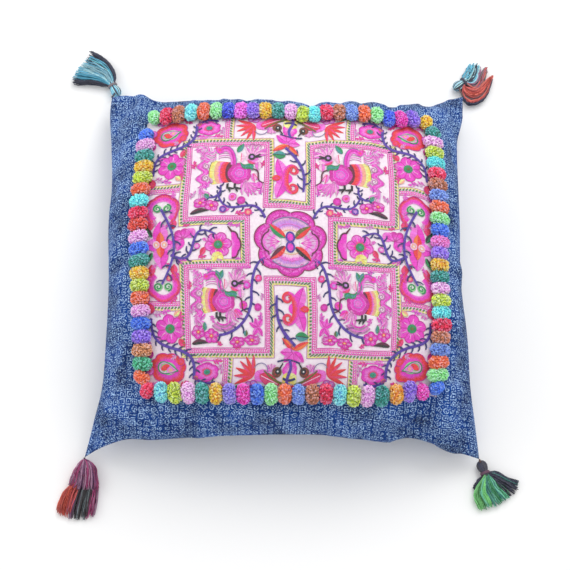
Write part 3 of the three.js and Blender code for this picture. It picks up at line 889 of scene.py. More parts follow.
class Needle:
    """Draws motifs with stitches, at a place, turn, size and hand of its own."""

    def __init__(self, work, x=0.0, y=0.0, turn=0.0, size=1.0, mirrored=False, flipped=False, outer=None):
        angle = math.radians(turn)
        self.work, self.outer = work, outer
        self.shift = np.array([x, y], float)
        self.turning = np.array([[math.cos(angle), math.sin(angle)], [-math.sin(angle), math.cos(angle)]]) * size
        self.hand = np.array([-1.0 if mirrored else 1.0, -1.0 if flipped else 1.0])

    def at(self, x, y, turn=0.0, size=1.0, flipped=False):
        """A needle placed within this one's drawing."""
        return Needle(self.work, x, y, turn, size, False, flipped, self)

    def put(self, curve):
        """A curve of the drawing at its place on the panel."""
        placed = (np.asarray(curve, float) * self.hand) @ self.turning + self.shift
        return self.outer.put(placed) if self.outer else placed

    def satin(self, first, second, shades, layer=0, slant=0.0, ragged=0.5):
        """Close stitches from one edge to the other, in rows of the shades where there are several."""
        first, second = self.put(first), self.put(second)
        work = self.work
        count = max(3, round(max(span(first), span(second)) / work.pitch))
        first, second = even(first, count), even(second, count)
        if slant:
            skip = max(1, round(slant / work.pitch))
            first, second = first[:-skip], second[skip:]
        rows = len(shades)
        cuts = np.repeat(np.linspace(0, 1, rows + 1)[None], len(first), 0)
        cuts[:, 1:-1] += work.rng.uniform(-ragged, ragged, (len(first), rows - 1)) / rows * 0.7
        for row, shade in enumerate(shades):
            low, high = cuts[:, row, None], cuts[:, row + 1, None]
            overlap = 0.06 if row else 0.0
            starts = first + (second - first) * (low - overlap / rows)
            ends = first + (second - first) * high
            length = float(np.linalg.norm(ends - starts, axis=1).mean())
            pieces = max(1, math.ceil(length / LONGEST_STITCH))
            for n in range(pieces):
                a = starts + (ends - starts) * n / pieces
                b = starts + (ends - starts) * (n + 1) / pieces
                work.add(a, b, shade, layer + 0.15 * (row % 2), work.width)

    def ring(
            self, x, y, inner, outer, shades, lobes=0, depth=0.0, start=0, end=360, squash=1.0, phase=0.0, layer=0):
        """Stitches that fan out from an inner round line to an outer one, which may have lobes."""
        core = lobed(inner, 0, 0.0, start, end, squash)
        self.satin(core + (x, y), lobed(outer, lobes, depth, start, end, squash, phase) + (x, y), shades, layer)

    def rim(
            self, x, y, radius, shade, lobes=0, depth=0.0, start=0, end=360, squash=1.0, phase=0.0, layer=2,
            width=1.0):
        """One thread along a ring's edge."""
        self.thread(lobed(radius, lobes, depth, start, end, squash, phase) + (x, y), shade, width, layer, run=1.9)

    def fan(self, x, y, angles, length, width, left, right, layer=1, rib=None, bend=0.0):
        """Leaves that spread from one place."""
        for angle in angles:
            self.leaf(x, y, *polar(x, y, angle, length), width, left, right, layer, bend, rib)

    def leaf(self, x0, y0, x1, y1, width, left, right, layer=1, bend=0.0, rib=None):
        """A pointed leaf of two halves, with slanting stitches on either side of its rib."""
        base, tip = np.array([x0, y0], float), np.array([x1, y1], float)
        t = np.linspace(0, 1, 30)[:, None]
        along = tip - base
        normal = np.array([-along[1], along[0]]) / max(np.linalg.norm(along), 1e-6)
        middle = base + along * t + normal * bend * np.sin(math.pi * t)
        swell = width / 2 * np.sin(math.pi * t**0.8) ** 0.8
        slant = min(2.0, float(np.linalg.norm(along)) * 0.12)
        self.satin(middle, middle + normal * swell, [left], layer, slant=slant)
        self.satin(middle, middle - normal * swell, [right], layer, slant=slant)
        if rib:
            self.thread(middle[2:-2], rib, layer=layer + 1)

    def stem(self, points, wide, narrow, shade, layer=1):
        """A rope of short slanting stitches along a curve, from a wide to a narrow end."""
        curve = smooth(points, max(8, int(span(np.array(points, float)) / 1.2)))
        tangent = unit(np.gradient(curve, axis=0))
        normal = np.stack([-tangent[:, 1], tangent[:, 0]], -1)
        half = np.linspace(wide, narrow, len(curve))[:, None] / 2
        lead = min(wide * 0.35, 0.8)
        self.satin(curve + normal * half, curve - normal * half, [shade], layer, slant=lead)

    def thread(self, points, shade, width=None, layer=1, run=2.6):
        """One couched thread along a curve."""
        curve = self.put(points if len(points) > 12 else smooth(points))
        curve = even(curve, max(3, round(span(curve) / run) + 1))
        work = self.work
        work.add(curve[:-1], curve[1:], shade, layer, width or work.width)

    def thorns(self, points, shade, every, length, layer):
        """Thorns on both sides of a vine, by turns."""
        curve = smooth(points, 80)
        count = max(2, round(1.2 * span(curve) / every))
        spots = even(curve, count * 2 + 1)[1::2]
        tangent = unit(np.gradient(even(curve, count * 2 + 1), axis=0)[1::2])
        rng = self.work.rng
        for n, (spot, way) in enumerate(zip(spots, tangent)):
            normal = np.array([-way[1], way[0]]) * (1, -1)[n % 2]
            reach = length * rng.uniform(0.9, 1.4)
            lean = way * rng.uniform(0.5, 0.8)
            elbow = spot + (normal * 0.55 + lean * 0.35) * reach
            self.stem([spot, elbow, spot + (normal * 0.8 + lean * 0.9) * reach], 2.7, 1.3, shade, layer)

    def curl(self, x, y, radius, start, shade, hand, layer):
        """A spiral of one and a half turns, from the outside in."""
        t = np.linspace(0, 1, 30)
        angle = math.radians(start) + hand * 2 * math.pi * 1.5 * t
        reach = radius * (1 - 0.85 * t)
        self.stem(np.stack([x + reach * np.cos(angle), y + reach * np.sin(angle)], -1), 1.5, 1.0, shade, layer)


def stitch_braid(needle, path, closed=True):
    """The braid: a fine line, yellow and green teeth, a pink chain with pale dots, and another fine line."""
    path = np.array(path, float)
    count = len(path)
    ways = unit(np.roll(path, -1, 0) - path) if closed else unit(np.diff(path, axis=0))

    def offset(distance):
        places = []
        for k in range(count):
            after = ways[k if closed else min(k, count - 2)]
            before = ways[k - 1] if closed or k else after
            n0, n1 = np.array([-before[1], before[0]]), np.array([-after[1], after[0]])
            places.append(path[k] + (n0 + n1) / (1 + float(n0 @ n1)) * distance)
        return np.array(places + places[:1] if closed else places)

    lines = {d: offset(d) for d in (6.0, 5.2, 3.4, 2.2, 0.8, -0.1, -2.3, -4.5, -5.8)}
    width = needle.work.width
    for k in range(count if closed else count - 1):
        ends = {d: line[k:k + 2] for d, line in lines.items()}
        run = float(np.linalg.norm(ends[0.8][1] - ends[0.8][0]))

        def stitch(shade, teeth, start, end, layer=0, wide=1.0):
            """One stitch in each tooth, from (share, line) to (share, line)."""
            a, b = (
                ends[line][0] + (ends[line][1] - ends[line][0]) * (np.arange(teeth)[:, None] + share) / teeth
                for share, line in (start, end))
            needle.work.add(needle.put(a), needle.put(b), shade, layer, width * wide)

        needle.thread(smooth(ends[6.0]), "mauve", 1.0, 0, run=2.2)
        needle.thread(smooth(ends[-5.8]), "deep", 1.1, 0, run=2.2)
        teeth = max(2, round(run / 4.3))
        for share in (0.05, 0.3, 0.55, 0.8):
            stitch("lemon" if share < 0.5 else "yellow", teeth, (share, 5.2), (0.3 + share * 0.3, 2.2))
        stitch("pale", teeth, (0.62, 0.8), (0.9, 3.4), 0.3)
        stitch("green", teeth, (0.0, 0.8), (0.42, 3.4), 0.8, 1.25)
        stitch("olive", teeth, (0.22, 0.8), (0.62, 3.4), 1.0, 1.25)
        links = max(3, round(run / 2.9))
        for share, shade in ((0.0, "pink"), (0.34, "rose"), (0.67, "pink")):
            stitch(shade, links, (share, -0.1), (share + 0.3, -2.3))
            stitch(shade, links, (share + 0.3, -2.3), (share, -4.5))
        stitch("white", links, (0.3, -2.3), (0.72, -2.3), 1, 1.3)


# Small leafy stalks that fill the ground of each cell: place across and along the panel, turn in degrees, size.
FAR_SPRIGS = [
    (-121, 128, -20, 0.8), (-119, 100, 100, 0.8), (-121, 58, 70, 0.8), (-103, 70, 80, 0.8), (-36, 118, 60, 0.8),
    (-35, 100, 80, 0.7), (-49, 68, -30, 0.7), (-43, 38, 160, 0.8), (-84, 38, 30, 0.8), (-66, 36, 10, 0.8),
    (-95, 79, 130, 0.6), (-34, 62, 100, 0.7), (-112, 64, 20, 0.6), (-96, 128, -10, 0.7),
]
NEAR_SPRIGS = [
    (-121, -38, -20, 0.8), (-122, -60, 100, 0.7), (-121, -92, 80, 0.8), (-111, -100, 60, 0.7), (-64, -42, 60, 0.8),
    (-58, -52, 80, 0.7), (-36, -66, -80, 0.6), (-36, -100, 100, 0.7), (-58, -34, 10, 0.7), (-72, -132, 10, 0.7),
    (-37, -126, 120, 0.7), (-104, -36, -15, 0.8), (-100, -94, -50, 0.7), (-84, -128, 160, 0.6),
]
ARM_SPRIGS = [
    (-125, -22, 160, 0.6), (-112, -21, 20, 0.7), (-104, 22, 10, 0.7), (-76, 22, 0, 0.7), (-64, 18, 60, 0.5),
    (-130, 22, 20, 0.6), (-92, -22, -10, 0.6), (-66, -24, 20, 0.5), (-107, 4, -20, 0.5),
]
EDGE_SPRIGS = [
    (-140, 38, 100, 0.9), (-139, -36, -100, 0.9), (-176, 40, 80, 0.8), (-177, -40, -70, 0.8), (-140, 62, 120, 0.8),
    (-141, -66, -120, 0.8), (-163, 25, 110, 0.7), (-150, 22, 60, 0.7), (-166, -24, -110, 0.7),
    (-152, -24, -60, 0.7), (-176, 68, 30, 0.7), (-140, -22, -20, 0.7),
]
CORNER_SPRIGS = [
    (-175, 178, -20, 0.9), (-138, 176, -20, 0.9), (-140, 140, 150, 0.7), (-168, 122, -30, 0.7), (-177, 122, 80, 0.8),
    (-137, 100, -80, 0.9), (-170, 90, -10, 0.9), (-118, 178, -10, 0.8), (-118, 146, 0, 0.9), (-96, 146, 10, 0.8),
    (-88, 172, 10, 0.7), (-160, 86, 0, 0.8), (-134, 118, -100, 0.7), (-126, 178, 190, 0.7), (-84, 150, 100, 0.8),
]


def stitch_blossom(needle, radius, petals, rim, body, heart, squash=1.0, phase=0.0, spot="yellow"):
    """A round flower with lobed petals, a darker rim, lines between the petals and a small heart."""
    needle.ring(0, 0, radius * 0.24, radius, body, petals, 0.26, squash=squash, phase=phase)
    needle.rim(0, 0, radius, rim, petals, 0.26, squash=squash, phase=phase)
    for n in range(petals):
        angle = math.radians(360 / petals * n - phase)
        way = np.array([math.cos(angle), math.sin(angle) * squash])
        needle.thread([way * radius * 0.3, way * radius * 0.74], rim, layer=2)
        angle += math.pi / petals
        way = np.array([math.cos(angle), math.sin(angle) * squash])
        needle.thread([way * radius * 0.42, way * radius * 0.72], "pale", 0.8, layer=2)
    needle.ring(0, 0, 0, radius * 0.32, [heart], squash=squash, layer=2)
    needle.ring(0, 0, 0, radius * 0.12, [spot], squash=squash, layer=3)


def stitch_bud(needle, x, y, radius, shade, rim, squash=1.0):
    """A round bud with its outline."""
    needle.ring(x, y, 0, radius, [shade, rim], 4, 0.1, squash=squash, layer=2)
    needle.rim(x, y, radius, "deep", start=-140, end=130, squash=squash, layer=3, width=0.9)


def stitch_sprigs(needle, rows):
    """Curved stalks with small leaves, in pinks by turns, at each row's place, turn and size."""
    for row, (x, y, turn, size) in enumerate(rows):
        leaf, stalk = (("pink", "mauve"), ("rose", "deep"), ("plume", "mauve"), ("pink", "purple"))[row % 4]
        sprig = needle.at(x, y, turn, size)
        sprig.thread(winding(0, 0, 11, 0, 1.5), stalk, 1.1, 1)
        for n in range(4):
            sprig.leaf(2 + 2.2 * n, 1, 5.6 + 2.2 * n, 5.4 - 8.8 * (n % 2), 3.2, leaf, ("magenta", leaf)[n % 2], 1)
        sprig.leaf(10, 0, 15.5, -1, 3.6, leaf, "magenta", 1)


def stitch_vine(needle, curve, wide=3.2, narrow=2.4, every=7.0, length=6.0, layer=1, buds=()):
    """A vine with thorns, and with a bud at each share of its length and distance away from it."""
    needle.stem(curve, wide, narrow, "purple", layer)
    needle.thorns(curve, "navy", every, length, layer)
    for share, away, radius, shade, rim in buds:
        n = round(share * (len(curve) - 2))
        way = unit(curve[n + 1] - curve[n])
        stitch_bud(needle, *(curve[n] + np.array([-way[1], way[0]]) * away), radius, shade, rim)


def stitch_rosette(needle):
    """The flower in the middle of the panel: a lobed ring round two cups, two fans, four leaves and two loops."""
    needle.ring(0, 0, 31, 45, ["pink", "magenta", "pink", "magenta", "deep"], 7, 0.17, phase=13)
    for radius, shade in ((45, "wine"), (40.5, "magenta"), (36, "deep")):
        needle.rim(0, 0, radius, shade, 7, 0.16, phase=13)
    for turn in range(0, 360, 18):
        petal = needle.at(0, 0, turn)
        petal.thread([(35.5, -3.4), (39, 0), (35.5, 3.4)], "deep", 0.9, 2)
        petal.thread([(33.5, 0), (39.5, 0)], "pink", 0.9, 2)
    for turn, glow in ((90, "lilac"), (-90, "pink")):
        cup = needle.at(0, 0, turn)
        cup.ring(0, 0, 9, 33, ["white", "cream", "pale", glow, "lilac", "plume"], start=-42, end=42, layer=1)
        for radius, shade, width in ((33, "slate", 1.5), (24, "pink", 1.0), (16, "peach", 1.0)):
            cup.rim(0, 0, radius, shade, start=-42, end=42, layer=3, width=width)
    for turn in (0, 180):
        fan = needle.at(0, 0, turn)
        fan.ring(9, 0, 3, 26, ["white", "pale", "pink", "plume", "pink"], 5, 0.16, -44, 44, phase=36, layer=2)
        fan.rim(9, 0, 26, "maroon", 5, 0.16, -44, 44, phase=36, layer=4, width=1.7)
        for angle in (-24, -8, 8, 24):
            fan.thread([(13, 0), polar(9, 0, angle, 20)], "magenta", 0.8, 4)
    for angle, left, right in (
            (42, "olive", "red"), (138, "green", "red"), (222, "red", "maroon"), (318, "red", "black")):
        needle.leaf(*polar(0, 0, angle, 9), *polar(0, 0, angle, 34), 10, left, right, 3, bend=1)
    for y in (6.5, -6.5):
        needle.ring(0, y, 0, 3.6, ["magenta"], squash=1.3, layer=3)
        needle.stem(arc(0, y, 4.8, 6.5, -90, 270), 2.0, 2.0, "purple", 4)


def stitch_bird(needle, reach=1.0):
    """A long-tailed bird that faces right: a wing in bands behind a round breast, a fanned crest, a plume that
    arches over its back and a waved tail. Reach is how far the wing and the tail go back."""
    tail, back = -46 * reach, -18 * reach
    wave = winding(tail, 25, tail, -18, 4, 2.5)
    needle.satin(wave - (4, 0), wave + (4, 0), ["magenta", "pink", "magenta"], 0)
    needle.thread(wave - (5, 0), "mauve", 1.0, 1)
    for y in (12, -5):
        needle.ring(tail + 4, y, 0, 4.4, ["white", "pale"], layer=1)
        needle.curl(tail + 4, y, 4.8, 100, "mauve", 1, 2)
    for n in range(6):
        shade = ("plume", "pink", "mauve", "magenta")[n % 4]
        needle.thread(winding(tail + 3, 23, tail - 7 + 4 * n, 43 - n, 3, 1), shade, 1.4, 1)
        needle.thread(winding(tail + 2, -16, tail - 8 + 3.5 * n, -37 + n, -3, 1), shade, 1.4, 1)
        needle.thread(winding(back - 12, 22 + 2.6 * n, tail - 4, 18 + 3.6 * n, 3, 1), shade, 1.3, 1)
    bows = [arc((x + 8) * reach, 3, 8 * reach, 18 - n, 112, 248) for n, x in enumerate((-38, -32, -25, -18, -12))]
    for outer, inner, shades in zip(bows, bows[1:], (
            ["yellow", "lemon"], ["peach", "peach", "pink"], ["rose", "red", "red"], ["maroon", "wine"])):
        needle.satin(outer, inner, shades, ragged=0.9)
    needle.thread(bows[0] - (0.6, 0), "olive", 0.7, 1, run=1.6)
    needle.ring(0, 1, 0.6, 14.5, ["pink", "magenta", "magenta", "deep"], 5, 0.1, squash=1.02, layer=1)
    needle.rim(0, 1, 14.5, "deep", 5, 0.1, squash=1.02)
    for radius, shade in ((10, "pink"), (5.5, "lilac")):
        needle.rim(0, 1, radius, shade, 5, 0.16, layer=3, width=0.9)
    inner, outer = arc(back, 17, 6.5, 16, -10, 125), arc(back, 17, 13.5, 24, -10, 125)
    needle.satin(inner, outer, ["pink", "magenta", "magenta"], 1)
    for inset, shade in ((0, "slate"), (3.5, "deep")):
        needle.thread(arc(back, 17, 13.5 - inset, 24 - inset, -10, 125), shade, 0.9, 3)
    needle.ring(back - 7.5, 34, 0, 4.4, ["rose", "magenta"], layer=2)
    for n in range(4):
        needle.thread(arc(back - 1, 21 + 3 * n, 8, 3.5, 10, 170), ("mauve", "pink")[n % 2], 1.2, 1)
    needle.satin(winding(1, 16, 17, 12, -1.5, 1), winding(3, 9, 16, 5, -1, 1), ["green", "teal", "green"], 3)
    needle.ring(17, 24, 0, 10, ["pale", "pink", "pale"], 5, 0.08, layer=1)
    needle.fan(17, 25, range(10, 135, 28), 18, 6, "pale", "pink", 2, "mauve", bend=1.5)
    for angle in (66, 94):
        needle.rim(*polar(17, 25, angle, 15), 4, "mauve", start=-60, end=220, layer=4, width=0.9)
    needle.ring(15, 24, 1.9, 4.5, ["black"], layer=5)
    needle.ring(15, 24, 0, 2.0, ["lilac"], layer=5)
    for angle in (2, 30):
        needle.stem([(19, 24), polar(19, 24, angle, 8)], 2.5, 1.4, "black", 5)
    needle.leaf(10, 20, 20, 15, 7, "pink", "rose", 2)
    needle.leaf(23, 17, 23, 5, 8, "pale", "pink", 2, rib="mauve")
    needle.leaf(1, 17, 2, 31, 9, "white", "pale", 1, rib="rose")
    needle.stem(winding(16, 7, 31, -13, 3, 1), 1.7, 1.2, "maroon", 3)
    needle.fan(8, -8, (-38, -58, -78, -98), 21, 6, "pale", "pink", 1, "mauve", bend=-2)
    for x in (back + 4, -5):
        needle.stem([(x, -13), (x, -20)], 2.8, 2.6, "black", 2)
        needle.stem([(x, -19.5), (x + 8, -20.5)], 3.2, 1.8, "black", 3)
        needle.stem([(x + 1.5, -20), (x + 4, -25)], 2.6, 1.4, "black", 3)


def stitch_far_square(needle):
    """A bird above a thorny vine."""
    stitch_sprigs(needle, FAR_SPRIGS)
    stitch_bird(needle.at(-63, 91))
    stitch_vine(needle, winding(-29, 31, -88, 62, -8, 1), every=6.4, buds=(
        (0.42, 9, 4.6, "peach", "rose"), (0.78, 6, 4.6, "lilac", "purple"), (0.5, -8, 5, "magenta", "deep"),
        (0.72, -14, 4.8, "rose", "pink")))
    stitch_vine(needle, winding(-88, 62, -101, 60, 2), 3.0, 2.0, 5, 5)
    stitch_vine(needle, winding(-88, 62, -86, 76, -2), 3.0, 2.0, 5, 6)
    needle.leaf(-99, 59, -105, 64, 6, "teal", "green", 2)
    stitch_bud(needle, -38, 75, 4.4, "magenta", "pink")
    needle.leaf(-66, 123, -58, 135, 7, "green", "teal", 2)
    needle.fan(-55, 78, range(-75, 0, 14), 19, 3.4, "magenta", "pink", 1)
    needle.fan(-46, 92, (-50, -80), 13, 7, "pale", "pink", 1, "rose")
    stitch_blossom(needle.at(-109, 52, 5), 9, 4, "deep", ["pink", "magenta"], "rose", 0.75)
    stitch_blossom(needle.at(-95, 48, -15), 9, 4, "deep", ["magenta", "pink"], "rose", 0.8)
    needle.leaf(-121, 38, -98, 42, 6, "maroon", "black", 2, bend=2)


def stitch_near_square(needle):
    """A bird inside the bend of a thorny vine, above low flowers."""
    stitch_sprigs(needle, NEAR_SPRIGS)
    stitch_bird(needle.at(-82, -77, 0, 0.95), 0.76)
    bend = np.vstack([arc(-29, -70, 19, 48, 90, 180, 40), arc(-91, -70, 43, 47, 0, -90, 40)[1:]])
    stitch_vine(needle, bend, 2.8, 3.2, every=9, length=9, buds=(
        (0.34, 7, 4.2, "pink", "rose"), (0.42, -6, 4.4, "lilac", "magenta"), (0.58, 9, 4.4, "magenta", "deep"),
        (0.6, -9, 4.8, "rose", "magenta")))
    for n, shade in enumerate(("mauve", "pink", "mauve", "magenta")):
        needle.stem(arc(-83, -96, 17 - 2.5 * n, 16 - 2.4 * n, -145, -25), 1.6, 2.2, shade, 1)
    needle.fan(-69, -86, (-35, -60, -85), 12, 7, "magenta", "pink", 1, "rose")
    needle.fan(-86, -48, (70, 112), 12, 6, "green", "teal", 2)
    needle.stem(winding(-86, -48, -82, -65, -3), 1.6, 1.0, "teal", 2)
    for x, y, turn, radius, squash in (
            (-114, -113, 10, 8.5, 1), (-98, -118, -15, 9, 1), (-66, -125, 6, 9.5, 0.66), (-48, -123, -6, 10, 0.62)):
        stitch_blossom(needle.at(x, y, turn), radius, 5, "deep", ["pink", "magenta"], "rose", squash)
    needle.fan(-41, -108, (60, 105, 150, 240, 300), 12, 6, "magenta", "pink", 1, "deep")
    needle.leaf(-106, -111, -106, -101, 5, "green", "teal", 2)
    needle.leaf(-56, -118, -55, -111, 5, "teal", "olive", 2)
    needle.leaf(-122, -127, -102, -126, 6, "maroon", "black", 2, bend=2)


def stitch_side_arm(needle):
    """A flower on a vine, with a half-round pod at the inner end."""
    stitch_sprigs(needle, ARM_SPRIGS)
    stitch_vine(needle, winding(-146, -14, -90, 10, -12, 1), 3.4, 2.0, 7, 8, layer=2)
    stitch_blossom(needle.at(-87, -4), 16.5, 6, "deep", ["rose", "magenta", "pink"], "green", 1.0, 22, "teal")
    needle.ring(-70, -4, 0, 11, ["pink", "magenta", "magenta"], 5, 0.16, -92, 92, 1.6, 36, 1)
    needle.rim(-70, -4, 11, "maroon", 5, 0.16, -92, 92, 1.6, 36, 3, 2.0)
    needle.stem([(-70, 13), (-75, 20)], 2.6, 1.4, "maroon", 2)
    needle.fan(-90, -14, (-45, -105), 13, 8, "yellow", "lemon", 2)
    needle.leaf(-104, -7, -109, -18, 7, "rose", "crimson", 1)
    stitch_bud(needle, -113, -5, 3.6, "pale", "pink")
    needle.ring(-130, 6, 3, 14, ["pink", "magenta", "deep"], 7, 0.2, 20, 195, layer=1)
    for angle in range(30, 200, 40):
        needle.thread([(-130, 6), polar(-130, 6, angle, 11)], "deep", 0.9, 3)
    needle.leaf(-131, 7, -138, -9, 11, "magenta", "pink", 1)
    needle.ring(-121, 13, 0, 7, ["magenta", "pink"], 4, 0.15, layer=1)


def stitch_edge_cell(needle):
    """Round arches with spirals above and below a four-petalled flower, on the panel's left edge."""
    stitch_sprigs(needle, EDGE_SPRIGS)
    for flip, y in ((False, 47), (True, -53)):
        arch = needle.at(-156, y, flipped=flip)
        arch.ring(0, 0, 12, 22, ["pink", "magenta", "magenta", "rose", "crimson"], 5, 0.1, -52, 232, phase=18)
        arch.rim(0, 0, 22, "deep", 5, 0.1, -52, 232, phase=18)
        for hand in (1, -1):
            arch.ring(6 * hand, 2, 0, 5, ["white", "mint"], layer=1)
            arch.curl(6 * hand, 2, 5.4, 90, "green", -hand, 3)
            arch.leaf(14 * hand, -14, 14 * hand, -27, 9, "rose", "crimson", 1)
    for angle, length, width in ((90, 32, 19), (-90, 32, 19), (180, 20, 17), (0, 17, 16)):
        needle.leaf(-158, 0, *polar(-158, 0, angle, length), width, "magenta", "pink", 2)
        needle.thread([(-158, 0), polar(-158, 0, angle, length * 0.75)], "deep", 0.9, 4)
    needle.fan(-158, 0, (90, -90), 17, 10, "red", "orange", 4)
    for x in (-163, -153):
        needle.ring(x, 0, 0, 4.4, ["white", "peach", "pale"], squash=1.15, layer=5)
    stitch_vine(needle, winding(-157, 48, -157, -52, 16), 3.2, 2.4, 13, 9, layer=6)
    for side in (1, -1):
        needle.leaf(-169, 11 * side, -176, 25 * side, 6, "green", "black", 3)
        stitch_bud(needle, -178, 71.5 * side, 5, "rose", "pink")
    stitch_bud(needle, -148, -44, 4, "peach", "rose")


def stitch_arm(needle):
    """A red crescent with curled ends round a pod, beside a thorny vine that ends in a flower."""
    needle.fan(7, -85, (72, -72), 29, 15, "magenta", "pink", 1, "deep")
    needle.ring(8, -85, 0, 11, ["rose", "magenta"], 3, 0.2, squash=0.9, layer=1)
    needle.ring(17, -85, 0, 5, ["rose", "red"], squash=0.8, layer=3)
    needle.satin(arc(-3, -85, 13, 21, 88, -88), arc(-3, -85, 5, 16, 88, -88), ["magenta", "rose", "red"], 2)
    for turn in (1, -1):
        t = np.linspace(0, 1, 34)
        angle = turn * (math.radians(80) + 2 * math.pi * 0.95 * t)
        reach = 6.6 * (1 - 0.72 * t)
        spiral = np.stack([reach * np.cos(angle) - 3.5, reach * np.sin(angle) - 85 + turn * 12], -1)
        way = unit(np.gradient(spiral, axis=0))
        half = np.stack([-way[:, 1], way[:, 0]], -1) * (2.5 * (1 - 0.6 * t))[:, None]
        needle.satin(spiral + half, spiral - half, ["rose", "red"], 2)
    stitch_vine(needle, winding(-17, -69, 5, -130, -9), 2.6, 4.6, 8, 9, layer=2)
    needle.leaf(6, -118, 22, -119, 11, "green", "teal", 3, rib="black")
    needle.fan(4, -134, (28, 138), 20, 7, "red", "orange", 2)
    needle.fan(4, -137, (180, 222, 270, 318), 17, 10, "magenta", "pink", 2, "deep")
    needle.stem(winding(-16, -148, 12, -150, 3), 2.0, 1.8, "navy", 3)


def stitch_end_cell(needle):
    """A small bird with a red fan tail, facing the flower in the middle of the panel's near edge."""
    for n, angle in enumerate(range(-22, 100, 22)):
        needle.leaf(46, -164, *polar(46, -164, angle, 24), 4.6, "red", ("red", "rose")[n % 2], 1)
    needle.ring(35, -164, 0, 10, ["magenta", "pink"], 5, 0.1, squash=0.75, layer=1)
    needle.leaf(38, -163, 13, -174, 13, "rose", "crimson", 2, rib="pale")
    needle.rim(37, -158, 8.5, "slate", start=20, end=190, layer=3, width=1.1)
    needle.stem(winding(6, -174, 33, -158, -2), 2.6, 1.6, "olive", 3)
    needle.ring(17, -160, 0, 6, ["red", "brown"], layer=3)
    needle.ring(16, -159, 1, 3.4, ["black"], layer=5)
    needle.ring(16, -159, 0, 1.2, ["white"], layer=5)
    needle.fan(24, -159, (58, 92, 126), 9, 7, "pale", "pink", 2, "mauve")
    needle.stem([(14, -156), (10, -150)], 2.2, 1.4, "black", 4)
    needle.stem([(20, -179), (32, -176)], 3.4, 2.0, "black", 4)
    stitch_blossom(needle.at(47, -176), 9.5, 5, "deep", ["pink", "lilac"], "purple", 0.8)
    needle.leaf(59, -176, 70, -177, 5, "green", "teal", 2)
    needle.leaf(60, -180, 66, -184, 6, "magenta", "pink", 1)


def stitch_end_flower(needle):
    """The flower between the two small birds."""
    needle.ring(0, -158, 0, 9.5, ["pale", "pink", "magenta"], 5, 0.18, layer=1)
    needle.fan(0, -161, (-60, -120), 15, 11, "lemon", "yellow", 2)
    needle.stem(winding(-1, -146, -1, -178, 2, 1), 3.0, 3.6, "purple", 4)
    for y in (-167, -177):
        needle.stem(winding(-8, y, 7, y, -2), 2.6, 2.6, "navy", 4)
    needle.fan(0, -176, (-25, -155), 13, 7, "crimson", "rose", 2)


def stitch_corner(needle):
    """A large flower in the panel's corner, with two smaller ones and a thorny vine between them."""
    stitch_sprigs(needle, CORNER_SPRIGS)
    big = needle.at(-152, 156, 12)
    big.ring(0, 0, 7, 23, ["pink", "magenta", "magenta", "rose", "red", "red"], 7, 0.13, squash=0.82)
    big.rim(0, 0, 23, "deep", 7, 0.13, squash=0.82)
    big.ring(0, 0, 0, 9.5, ["white", "mint"], squash=0.78, layer=1)
    for length, shade in ((13, "green"), (11, "plume")):
        big.thread(pear(length), shade, 1.5, 3)
    big.leaf(-8, 3, 1, -5, 7, "red", "red", 3)
    big.ring(3.5, 1, 0, 5, ["peach", "pink"], squash=0.85, layer=3)
    stitch_vine(needle, winding(-172, 96, -119, 168, 11, 1), 2.6, 3.6, 5, 6.5, layer=2)
    stitch_vine(needle, winding(-119, 166, -92, 171, 4), 3.2, 2.2, 8, 5, layer=2)
    stitch_blossom(needle.at(-149, 108), 18, 6, "deep", ["pink", "magenta", "magenta"], "green", 1.0, 8, "olive")
    needle.leaf(-138, 121, -131, 131, 8, "rose", "crimson", 1)
    needle.leaf(-143, 92, -136, 86, 6, "lemon", "peach", 2)
    side = needle.at(-103, 160)
    side.ring(0, 0, 3, 15, ["rose", "pink", "magenta"], 6, 0.14, squash=0.72)
    side.rim(0, 0, 15, "deep", 6, 0.14, squash=0.72)
    side.ring(0, 0, 0, 4, ["green", "teal"], squash=0.8, layer=2)
    side.leaf(-16, 5, -10, 9, 5, "red", "orange", 2)
    side.thread(winding(-17, -10, 16, -12, -2), "magenta", 1.4)
    side.thread(winding(-16, -12.5, 16, -14.5, -2), "pale", 1.2)
    for x, y, radius, shade, rim in (
            (-177, 140, 6, "magenta", "deep"), (-174, 84, 6.5, "rose", "crimson"), (-136, 148, 4.5, "rose", "red"),
            (-176, 160, 5.5, "rose", "pink")):
        stitch_bud(needle, x, y, radius, shade, rim)


STEPPED_CROSS = [
    (-54, -28.5), (-54, 28.5), (-130, 28.5), (-130, 138), (-26, 138), (-26, 50.5), (26, 50.5), (26, 138),
    (130, 138), (130, 28.5), (54, 28.5), (54, -28.5), (130, -28.5), (130, -138), (26, -138), (26, -50.5),
    (-26, -50.5), (-26, -138), (-130, -138), (-130, -28.5),
]
EDGE_BRAIDS = [
    ((-77, 186), (-77, 144)), ((78, 144), (78, 186)), ((-186, 76), (-136, 76)), ((136, 76), (186, 76)),
    ((-136, -80), (-186, -80)), ((186, -80), (136, -80)), ((-77, -144), (-77, -186)), ((78, -186), (78, -144)),
]


